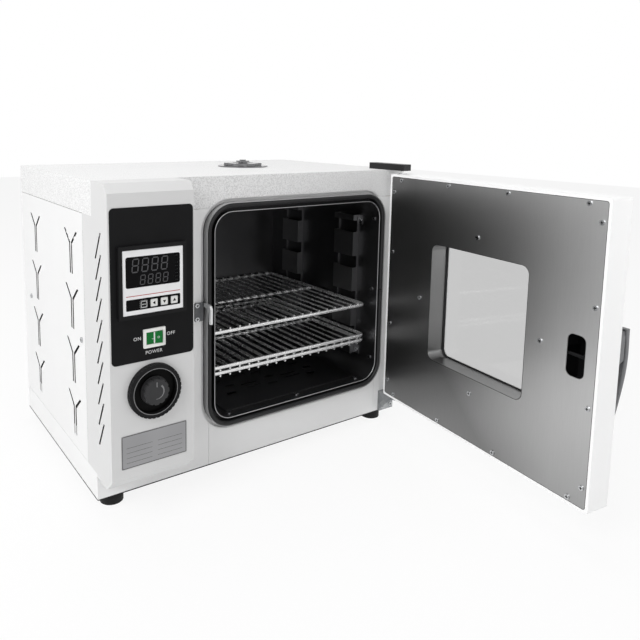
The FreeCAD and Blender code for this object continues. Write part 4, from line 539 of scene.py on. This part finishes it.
def lettering(name, words, height, at, body, material):
    """Raised print of capital height `height`, centred at (x, z) on the face y."""
    data = bpy.data.curves.new(name, "FONT")
    data.body = words
    data.size = 10 * MM
    data.extrude = TYPE_PRINT * MM
    data.space_character = 1.12
    data.resolution_u = 4
    mesh = to_mesh(data, Matrix())
    low = [min(v.co[k] for v in mesh.vertices) for k in range(3)]
    high = [max(v.co[k] for v in mesh.vertices) for k in range(3)]
    grow = height * MM / (high[1] - low[1])
    x, y, z = at
    centre = Matrix.Translation([-(a + b) / 2 for a, b in zip(low[:2], high[:2])] + [0])
    mesh.transform(front_place(x, y - TYPE_PRINT, z) @ Matrix.Diagonal((grow, grow, 1, 1)) @ centre)
    add_piece(name, mesh, body, material)


# Name plate: left bare but for a border and empty ruled fields

slab_piece("name_plate", [rounded(*NAME_SIZE, 1.2)], NAME_THICK, (NAME_PLATE[0], FASCIA_Y, NAME_PLATE[1]),
           "cabinet", PLATE_METAL)
border = [rounded(NAME_SIZE[0] - step, NAME_SIZE[1] - step, r) for step, r in ((1.2, 0.9), (2.4, 0.6))]
slab_piece("name_plate_border", border, 0.06, (NAME_PLATE[0], FASCIA_Y - NAME_THICK, NAME_PLATE[1]),
           "cabinet", DARK_INK)


# Control panel lettering and the meter's face

for name, word, x, z in (("power_word", "POWER", -225.6, 244.7), ("on_word", "ON", -249.4, 265.6),
                         ("off_word", "OFF", -200.8, 265.8)):
    lettering(name, word, CAPS_HEIGHT, (x, PANEL_Y, z), "cabinet", WHITE_INK)

slab_piece("meter_red_line", [rounded(76.5, 0.9, 0.2)], PRINT, (SCREEN_CENTRE[0], METER_PLATE_Y, RED_LINE_Z),
           "cabinet", RED_INK)
strip = [rounded(76.8, 14.8, 1.6)]
strip += [rounded(10.2, 10.2, 1.1, x - SCREEN_CENTRE[0], KEY_Z - STRIP_Z) for x in KEY_X]
slab_piece("key_strip", strip, 0.12, (SCREEN_CENTRE[0], METER_PLATE_Y, STRIP_Z),
           "cabinet", SCREEN)

for name, loops in (("set_key_ring", [rounded(8.4, 8.4, 1.4), rounded(7.2, 7.2, 0.9)]),
                    ("set_key_dots", [circle(0.6, -1.8), circle(0.6), circle(0.6, 1.8)])):
    slab_piece(name, loops, PRINT, (KEY_X[0], KEY_Y, KEY_Z), "meter_key_1", WHITE_INK)
ARROW = [(-2.4, 0), (1.5, -2.5), (1.5, 2.5)]
for number, quarter in ((2, 0), (3, 1), (4, 3)):
    spin = Matrix.Rotation(quarter * math.pi / 2, 2)
    shape = [tuple(spin @ Vector(p)) for p in ARROW]
    slab_piece("arrow_%d" % number, [shape], PRINT, (KEY_X[number - 1], KEY_Y, KEY_Z),
               "meter_key_%d" % number, DARK_INK)


# Rocker marks and a painted highlight down its ridge, a painted highlight on the dial's lip, and the knob's
# pointer

# Painted highlight: a white strip down the rocker's ridge for the reflection along it
ridge_highlight = outline_curve([rounded(1.7, 15.4, 0.4)], thick=0.6)
add_piece("rocker_ridge_highlight", to_mesh(ridge_highlight, front_place(ROCKER[0] - 0.4, RIDGE_Y, ROCKER[1])),
          "power_rocker", WHITE_INK)
tilted = Matrix.Translation((5.2 * MM, 0, 0)) @ Matrix.Rotation(ROCKER_LEAN, 4, "Z")
ring = to_mesh(outline_curve([circle(1.5), circle(1.05)], thick=0.1), Matrix())
upright = front_place(0, 0, 0)
ring.transform(front_place(ROCKER[0], RIGHT_PAD_Y, ROCKER[1]) @ upright.inverted() @ tilted @ upright)
add_piece("rocker_off_mark", ring, "power_rocker", WHITE_INK)
slab_piece("rocker_on_mark", [rounded(2.6, 0.5, 0.2)], 0.3, (ROCKER[0] - 2.6, LEFT_PAD_Y, ROCKER[1] - 1.4),
           "power_rocker", WHITE_INK)

# Painted highlight: a thin grey ring on the dial's front edge for the light line along its lip
slab_piece("dial_lip_highlight", [circle(32.0, steps=72), circle(31.1, steps=72)], 0.12,
           (DIAL_PLACE[0], DIAL_FRONT_Y, DIAL_PLACE[1]), "cabinet", GREY_INK)


def knob_print(name, loop):
    """Grey print on the knob's front, which turns with it."""
    at = (DIAL_PLACE[0], KNOB_FRONT_Y, DIAL_PLACE[1])
    slab_piece(name, [loop], 0.15, at, "dial_knob", GREY_INK)


# The arc grows thicker over its 150 degrees: its inner edge keeps its radius and its outer edge drifts out
ARC_START = -100
ARC_SWEEP = 150
ARC_STEP = 6
ARC_INNER = 9.2
ARC_OUTER = 9.6
ARC_DRIFT = 0.012
knob_print("knob_pointer", rounded(1.3, 7.0, 0.6, 0, 10.5))
sweep = range(0, ARC_SWEEP + 1, ARC_STEP)
arc = [(a, ARC_OUTER + ARC_DRIFT * a) for a in sweep] + [(a, ARC_INNER) for a in reversed(sweep)]
knob_print("knob_arc", [(r * math.cos(math.radians(a + ARC_START)), r * math.sin(math.radians(a + ARC_START)))
                        for a, r in arc])


# Node trees that repeat small work

def geometry_tree(name, sockets):
    """An empty geometry tree with its named inputs."""
    tree = bpy.data.node_groups.new(name, "GeometryNodeTree")
    tree.interface.new_socket("Geometry", in_out="INPUT", socket_type="NodeSocketGeometry")
    for label, kind in sockets:
        tree.interface.new_socket(label, in_out="INPUT", socket_type=kind)
    tree.interface.new_socket("Geometry", in_out="OUTPUT", socket_type="NodeSocketGeometry")
    return tree, add_node(tree, "NodeGroupInput")


def run_tree(tree, seeds, values, place=Matrix()):
    """The plain mesh that a tree makes of a mesh of seed points, put in place."""
    draft = bpy.data.objects.new("draft", seeds)
    bpy.context.scene.collection.objects.link(draft)
    modifier = draft.modifiers.new("tree", "NODES")
    modifier.node_group = tree
    for item in tree.interface.items_tree:
        if item.item_type == "SOCKET" and item.in_out == "INPUT" and item.name in values:
            modifier[item.identifier] = values[item.name]
    bpy.context.view_layer.update()
    mesh = bpy.data.meshes.new_from_object(draft.evaluated_get(bpy.context.evaluated_depsgraph_get()))
    draft.modifiers.remove(modifier)
    bpy.data.objects.remove(draft)
    mesh.transform(place)
    return mesh


def recess_tree():
    """A cross recess on every screw head: two crossed bars, turned as the head is and sized by it, dark as
    painted shade.
    """
    tree, given = geometry_tree("cross_recess", [
        ("Arm share", "NodeSocketFloat"), ("Width share", "NodeSocketFloat"),
        ("Depth share", "NodeSocketFloat")])
    bars = []
    for long_axis, cross_axis in (("X", "Y"), ("Y", "X")):
        size = add_node(tree, "ShaderNodeCombineXYZ", {
            long_axis: given["Arm share"], cross_axis: given["Width share"], "Z": given["Depth share"]})[0]
        bars.append(add_node(tree, "GeometryNodeMeshCube", {"Size": size})["Mesh"])
    cross = add_node(tree, "GeometryNodeJoinGeometry", {"Geometry": bars})[0]
    facing = add_node(tree, "GeometryNodeInputNamedAttribute", {
        "Name": "facing"}, data_type="FLOAT_VECTOR")["Attribute"]
    span = add_node(tree, "GeometryNodeInputNamedAttribute", {"Name": "span"}, data_type="FLOAT")["Attribute"]
    turn = add_node(tree, "FunctionNodeAlignRotationToVector", {"Vector": facing}, axis="Z")[0]
    placed = add_node(tree, "GeometryNodeInstanceOnPoints", {
        "Points": given["Geometry"], "Instance": cross, "Rotation": turn, "Scale": span})[0]
    plain = add_node(tree, "GeometryNodeRealizeInstances", {"Geometry": placed})[0]
    made = add_node(tree, "GeometryNodeSetMaterial", {"Geometry": plain, "Material": RECESS_SHADE})[0]
    add_node(tree, "NodeGroupOutput", {"Geometry": made})
    return tree


def digit_tree():
    """A row of seven-segment figures in a unit cell each, for the unlit display."""
    tree, given = geometry_tree("segment_digits", [
        ("Count", "NodeSocketInt"), ("Pitch", "NodeSocketFloat"), ("Width", "NodeSocketFloat"),
        ("Height", "NodeSocketFloat"), ("Depth", "NodeSocketFloat")])
    segments = []
    flat, upright = (0.72, 0.085, 1.0), (0.15, 0.37, 1.0)
    for x, y, size in ((0, 0.46, flat), (0, 0, flat), (0, -0.46, flat), (-0.42, 0.23, upright),
                       (0.42, 0.23, upright), (-0.42, -0.23, upright), (0.42, -0.23, upright)):
        bar = add_node(tree, "GeometryNodeMeshCube", {"Size": size})["Mesh"]
        segments.append(add_node(tree, "GeometryNodeTransform", {
            "Geometry": bar, "Translation": (x, y, 0)})[0])
    figure = add_node(tree, "GeometryNodeJoinGeometry", {"Geometry": segments})[0]
    size = add_node(tree, "ShaderNodeCombineXYZ", {
        "X": given["Width"], "Y": given["Height"], "Z": given["Depth"]})[0]
    figure = add_node(tree, "GeometryNodeTransform", {"Geometry": figure, "Scale": size})[0]
    step = add_node(tree, "ShaderNodeCombineXYZ", {"X": given["Pitch"]})[0]
    row = add_node(tree, "GeometryNodeMeshLine", {"Count": given["Count"], "Offset": step})[0]
    placed = add_node(tree, "GeometryNodeInstanceOnPoints", {"Points": row, "Instance": figure})[0]
    plain = add_node(tree, "GeometryNodeRealizeInstances", {"Geometry": placed})[0]
    made = add_node(tree, "GeometryNodeSetMaterial", {"Geometry": plain, "Material": DIM_SEGMENT})[0]
    add_node(tree, "NodeGroupOutput", {"Geometry": made})
    return tree


def bar_tree(name, material):
    """Bars of one size on a grid, for ruled fields and rows of marks."""
    tree, given = geometry_tree(name, [
        ("Across", "NodeSocketInt"), ("Down", "NodeSocketInt"), ("Spread X", "NodeSocketFloat"),
        ("Spread Y", "NodeSocketFloat"), ("Length", "NodeSocketFloat"), ("Weight", "NodeSocketFloat"),
        ("Depth", "NodeSocketFloat")])
    grid = add_node(tree, "GeometryNodeMeshGrid", {
        "Size X": given["Spread X"], "Size Y": given["Spread Y"],
        "Vertices X": given["Across"], "Vertices Y": given["Down"]})["Mesh"]
    size = add_node(tree, "ShaderNodeCombineXYZ", {
        "X": given["Length"], "Y": given["Weight"], "Z": given["Depth"]})[0]
    bar = add_node(tree, "GeometryNodeMeshCube", {"Size": size})["Mesh"]
    placed = add_node(tree, "GeometryNodeInstanceOnPoints", {"Points": grid, "Instance": bar})[0]
    plain = add_node(tree, "GeometryNodeRealizeInstances", {"Geometry": placed})[0]
    made = add_node(tree, "GeometryNodeSetMaterial", {"Geometry": plain, "Material": material})[0]
    add_node(tree, "NodeGroupOutput", {"Geometry": made})
    return tree


def no_seeds():
    """An empty mesh, for trees that need no points to start from."""
    return bpy.data.meshes.new("seeds")


def lean(share):
    """Slants flat work to the right by that share of its height."""
    return Matrix(((1, share, 0, 0), (0, 1, 0, 0), (0, 0, 1, 0), (0, 0, 0, 1)))


DIGITS = digit_tree()
for name, x, z, pitch, width, height in (("upper_digits", -252.6, 365.0, 13.6, 9.6, 18.5),
                                         ("lower_digits", -242.6, 345.6, 10.8, 7.4, 13.2)):
    values = {"Count": 4, "Pitch": pitch * MM, "Width": width * MM, "Height": height * MM,
              "Depth": PRINT * MM}
    mesh = run_tree(DIGITS, no_seeds(), values, front_place(x, METER_SCREEN_Y, z) @ lean(0.1))
    add_piece(name, mesh, "cabinet")

values = {"Across": 2, "Down": 8, "Spread X": 0.1 * MM, "Spread Y": 33 * MM, "Length": 3.4 * MM,
          "Weight": 0.8 * MM, "Depth": PRINT * MM}
mesh = run_tree(bar_tree("indicator_marks", GREY_INK), no_seeds(), values,
                front_place(-194.6, METER_SCREEN_Y, SCREEN_CENTRE[1]))
add_piece("indicator_marks", mesh, "cabinet")

values = {"Across": 2, "Down": 4, "Spread X": 45 * MM, "Spread Y": 21 * MM, "Length": 37 * MM,
          "Weight": 0.35 * MM, "Depth": THIN_PRINT * MM}
mesh = run_tree(bar_tree("ruled_fields", DARK_INK), no_seeds(), values,
                front_place(NAME_PLATE[0], FASCIA_Y - NAME_THICK, NAME_PLATE[1] - 5))
add_piece("name_plate_fields", mesh, "cabinet")


def screw_heads(node, turn=Matrix()):
    """Head centre, facing and head radius of each screw, read from the node's mesh before the turn."""
    form = bmesh.new()
    form.from_mesh(frame["nodes"][node].data)
    bmesh.ops.remove_doubles(form, verts=form.verts, dist=0.001 * MM)
    back = turn.inverted()
    heads, seen = [], set()
    for first in form.verts:
        if first in seen:
            continue
        seen.add(first)
        stack, points = [first], []
        while stack:
            vertex = stack.pop()
            points.append(back @ vertex.co)
            for edge in vertex.link_edges:
                other = edge.other_vert(vertex)
                if other not in seen:
                    seen.add(other)
                    stack.append(other)
        low = Vector([min(p[k] for p in points) for k in range(3)])
        high = Vector([max(p[k] for p in points) for k in range(3)])
        size, middle = high - low, (low + high) / 2
        axis = min(range(3), key=lambda k: abs(size[k - 2] - size[k - 1]))
        reach = {}
        for sign, level in ((1, high[axis]), (-1, low[axis])):
            near = [p - middle for p in points if abs(p[axis] - level) < size[axis] / 4]
            reach[sign] = max(math.hypot(p[axis - 2], p[axis - 1]) for p in near)
        sign = 1 if reach[1] >= reach[-1] else -1
        facing = Vector((0, 0, 0))
        facing[axis] = sign
        place = middle + facing * (size[axis] / 2)
        heads.append((turn @ place, turn.to_3x3() @ facing, reach[sign]))
    form.free()
    return heads


def recess_piece(name, heads, body, tree):
    """One piece with the cross recesses of all these heads."""
    seeds = bpy.data.meshes.new(name)
    seeds.from_pydata([place for place, facing, r in heads], [], [])
    seeds.attributes.new("facing", "FLOAT_VECTOR", "POINT").data.foreach_set(
        "vector", [c for place, facing, r in heads for c in facing])
    seeds.attributes.new("span", "FLOAT", "POINT").data.foreach_set(
        "value", [r for place, facing, r in heads])
    values = {"Arm share": CROSS_ARM, "Width share": CROSS_WIDTH, "Depth share": CROSS_DEPTH}
    add_piece(name, run_tree(tree, seeds, values), body)


hinge = Vector((DOOR_AXIS[0] * MM, DOOR_AXIS[1] * MM, 0))
door_turn = Matrix.Translation(hinge) @ Matrix.Rotation(DOOR_OPEN, 4, "Z") @ Matrix.Translation(-hinge)


def closed_box(node):
    """Lowest and highest corner in millimetres of a door node, as it lies when the door is shut."""
    points = [door_turn.inverted() @ v.co / MM for v in frame["nodes"][node].data.vertices]
    return [[pick(p[k] for p in points) for k in range(3)] for pick in (min, max)]


SHADOW_GAP = 0.05
SHADOW_LIFT = 0.03
SHADOW_THICK = 0.1


def door_shadow_line(name, x, z, size, corner, width):
    """Painted shadow: a flat dark line of that width round an opening or a sheet's edge, on the inner face of
    the door, for the shadow in the gap there.
    """
    loops = [rounded(size[0] + 2 * out, size[1] + 2 * out, corner + out) for out in (width, SHADOW_GAP)]
    place = door_turn @ front_place(x, liner_high[1] + SHADOW_LIFT, z)
    add_piece(name, to_mesh(outline_curve(loops, thick=SHADOW_THICK), place), "door", SEAL)


pane_low, pane_high = closed_box("window_pane")
pane_x, pane_z = [(pane_low[k] + pane_high[k]) / 2 for k in (0, 2)]
liner_low, liner_high = closed_box("door_liner")
liner_x, liner_z = [(liner_low[k] + liner_high[k]) / 2 for k in (0, 2)]
liner_size = [liner_high[k] - liner_low[k] for k in (0, 2)]
# Painted shadow lines round the liner's edge and round the window's mouth
door_shadow_line("liner_edge_shadow_line", liner_x, liner_z, liner_size, LINER_ROUND, 0.7)
door_shadow_line("window_mouth_shadow_line", pane_x, pane_z, WINDOW_SIZE, WINDOW_ROUND, 0.8)
# Painted shade: a black ring round the pane for the shadow gap between the reveal and the pane
shade_ring = [rounded(WINDOW_SIZE[0] - step, WINDOW_SIZE[1] - step, r) for step, r in ((0.4, 11.8), (4.0, 10.4))]
add_piece("pane_shadow_ring", to_mesh(outline_curve(shade_ring, thick=1.2),
                                 door_turn @ front_place(pane_x, pane_high[1] + 0.62, pane_z)),
          "door", SEAL)
slot_edge = outline_curve([rounded(27.0, 56.5, 8.5), rounded(26.1, 55.6, 8.05)], thick=0.12)
add_piece("latch_slot_edge",
          to_mesh(slot_edge, door_turn @ front_place(SLOT_CENTRE[0], LINER_FACE_Y, SLOT_CENTRE[1])),
          "door", BEAD_STEEL)


# Cross recesses: small dark bars on the heads, and a dark cross in the finish of the side heads, both painted
# shade

CROSS = recess_tree()
recess_piece("door_screw_recesses", screw_heads("door_screws", door_turn), "door", CROSS)
recess_piece("chamber_screw_recesses", screw_heads("chamber_screws"), "cabinet", CROSS)
cabinet_heads = screw_heads("cabinet_screws")
rear_heads = [head for head in cabinet_heads if abs(head[1].y) > 0.5]
recess_piece("cabinet_screw_recesses", rear_heads, "cabinet", CROSS)
side_heads = sorted({(round(at.y / MM, 1), round(at.z / MM, 1), round(reach / MM, 1))
                     for at, facing, reach in cabinet_heads if abs(facing.x) > 0.5})
dress(frame["nodes"]["cabinet_screws"], finish("side_screw_zinc", side_screw_zinc, side_heads))


# Painted shade under the skirt: a black strip along the foot of the cabinet for the shadow gap at the base
# pan's edge

EDGE_HEIGHT = 1.6
pan_low, pan_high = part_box("base_pan")
pan_size = [(b - a) / MM for a, b in zip(pan_low, pan_high)]
edge = [rounded(pan_size[0] + grow, pan_size[1] + grow, r) for grow, r in ((0.3, 1.2), (-1.4, 0.6))]
under = (pan_low + pan_high) / 2
under.z = pan_low.z + EDGE_HEIGHT / 2 * MM
add_piece("base_shadow_strip", to_mesh(outline_curve(edge, thick=EDGE_HEIGHT), Matrix.Translation(under)),
          "cabinet", FOOT_RUBBER)


# Mouth of the chamber: the seal's pale outer lip, grey as painted shade of a white frame wall, and the bright
# hem of the liner

def mouth_loop(offset):
    """The chamber's rounded mouth, grown by an offset on every side."""
    width, height = (side + 2 * offset for side in CHAMBER_SIZE)
    return rounded(width, height, CHAMBER_ROUND + offset, steps=12)


slab_piece("seal_outer_lip", [mouth_loop(13.75), mouth_loop(13.1)], SEAL_LIP_DEPTH,
           (CHAMBER_CENTRE[0], SEAL_LIP_Y, CHAMBER_CENTRE[1]), "cabinet", SEAL_LIP)
hem = to_mesh(outline_curve([mouth_loop(0.5)], bevel=0.8),
              front_place(CHAMBER_CENTRE[0], HEM_Y, CHAMBER_CENTRE[1]))
add_piece("liner_hem", hem, "cabinet", BEAD_STEEL)


# Stage, light and camera

PAPER_GLOW = 0.87
ROOM_LIGHT = 0.38


def stage_box(name, low, high, material):
    """A plain box of the stage, between two corners in metres."""
    mesh = bpy.data.meshes.new(name)
    form = bmesh.new()
    bmesh.ops.create_cube(form, size=1)
    size = [b - a for a, b in zip(low, high)]
    centre = [(a + b) / 2 for a, b in zip(low, high)]
    form.transform(Matrix.Translation(centre) @ Matrix.Diagonal((*size, 1)))
    form.to_mesh(mesh)
    form.free()
    piece = bpy.data.objects.new(name, mesh)
    bpy.context.scene.collection.objects.link(piece)
    dress(piece, material)


def seen_rays(tree):
    """1 for the rays by which the camera, metal and glass see a surface."""
    path = add_node(tree, "ShaderNodeLightPath")
    direct = add_node(tree, "ShaderNodeMath", {0: path["Is Camera Ray"], 1: path["Is Transmission Ray"]},
                      operation="MAXIMUM")[0]
    return add_node(tree, "ShaderNodeMath", {0: direct, 1: path["Is Glossy Ray"]}, operation="MAXIMUM")[0]


def studio_floor(tree, place):
    """Matt white paper: mostly plain white to the eye, and enough paper left to keep the shadow."""
    fibre = add_node(tree, "ShaderNodeTexNoise", {"Vector": place, "Scale": 1 / (4 * MM)})["Fac"]
    tone = add_node(tree, "ShaderNodeMix", {
        0: fibre, 6: linear("#F4F4F4"), 7: linear("#F0F0F0")}, data_type="RGBA")[2]
    paper = add_node(tree, "ShaderNodeBsdfPrincipled", {
        "Base Color": tone, "Roughness": 0.7, "Specular IOR Level": 0.2})[0]
    glow = add_node(tree, "ShaderNodeEmission", {"Color": (1, 1, 1, 1), "Strength": 1.0})[0]
    share = add_node(tree, "ShaderNodeMath", {0: seen_rays(tree), 1: PAPER_GLOW}, operation="MULTIPLY")[0]
    return add_node(tree, "ShaderNodeMixShader", {0: share, 1: paper, 2: glow})[0]


def soft_lamp(name, place, aim, size, power):
    """A rectangular soft lamp that faces the point it is aimed at."""
    data = bpy.data.lights.new(name, "AREA")
    data.shape = "RECTANGLE"
    data.size, data.size_y = size
    data.energy = power
    lamp = bpy.data.objects.new(name, data)
    bpy.context.scene.collection.objects.link(lamp)
    lamp.location = place
    lamp.rotation_mode = "QUATERNION"
    lamp.rotation_quaternion = (Vector(aim) - Vector(place)).to_track_quat("-Z", "Y")


def studio_world():
    """An even dim room, which looks like white paper to the rays that see it."""
    world = bpy.data.worlds.new("studio")
    bpy.context.scene.world = world
    world.use_nodes = True
    tree = world.node_tree
    tree.nodes.clear()
    room = add_node(tree, "ShaderNodeBackground", {"Color": linear("#F6F6F6"), "Strength": ROOM_LIGHT})[0]
    paper = add_node(tree, "ShaderNodeBackground", {"Color": (1, 1, 1, 1), "Strength": 1.0})[0]
    mixed = add_node(tree, "ShaderNodeMixShader", {0: seen_rays(tree), 1: room, 2: paper})[0]
    add_node(tree, "ShaderNodeOutputWorld", {"Surface": mixed})


# Camera: place in metres, degrees of azimuth, height and roll, lens in millimetres,
# and the shift as a share of the frame
CAMERA_PLACE = (-0.5691, -1.0103, 0.5431)
CAMERA_ANGLES = (-34.391, 7.442, 0.706)
CAMERA_LENS = 36.09
CAMERA_SHIFT = (0.08175, -0.16975)


def photo_camera():
    """Camera at the photograph's place and angle, solved from the cabinet's edges."""
    azimuth, height, roll = (math.radians(angle) for angle in CAMERA_ANGLES)
    ahead = Vector((-math.sin(azimuth) * math.cos(height), math.cos(azimuth) * math.cos(height),
                    -math.sin(height)))
    level = Vector((math.cos(azimuth), math.sin(azimuth), 0))
    above = level.cross(ahead)
    right = level * math.cos(roll) + above * math.sin(roll)
    up = above * math.cos(roll) - level * math.sin(roll)
    data = bpy.data.cameras.new("photo_camera")
    data.sensor_width = 36
    data.lens = CAMERA_LENS
    data.shift_x, data.shift_y = CAMERA_SHIFT
    camera = bpy.data.objects.new("photo_camera", data)
    bpy.context.scene.collection.objects.link(camera)
    turn = Matrix((right, up, -ahead)).transposed().to_4x4()
    camera.matrix_world = Matrix.Translation(CAMERA_PLACE) @ turn
    bpy.context.scene.camera = camera


# Soft lamps: place, the point aimed at, width and height of the panel, all in metres, and watts
LAMPS = {
    "key_light": ((-2.6, -1.0, 2.2), (0, -0.1, 0.25), (1.8, 1.8), 70),
    "fill_light": ((0.6, -3.0, 1.3), (0, -0.2, 0.25), (1.8, 1.8), 3),
    "door_light": ((1.0, -1.3, 0.45), (0.2, -0.3, 0.25), (0.5, 0.6), 1.6),
    "chamber_light": ((-0.25, -1.5, 0.75), (0.1, 0, 0.22), (0.5, 0.5), 1.5),
    "top_light": ((0, 0.3, 2.6), (0, 0, 0.2), (2.0, 2.0), 20),
}
FLOOR_REACH = 6
FLOOR_DEPTH = 0.02

stage_box("floor", (-FLOOR_REACH, -FLOOR_REACH, -FLOOR_DEPTH), (FLOOR_REACH, FLOOR_REACH, 0),
          finish("white_paper_floor", studio_floor))
studio_world()
for name, settings in LAMPS.items():
    soft_lamp(name, *settings)
photo_camera()
bpy.context.scene.view_settings.view_transform = "Standard"
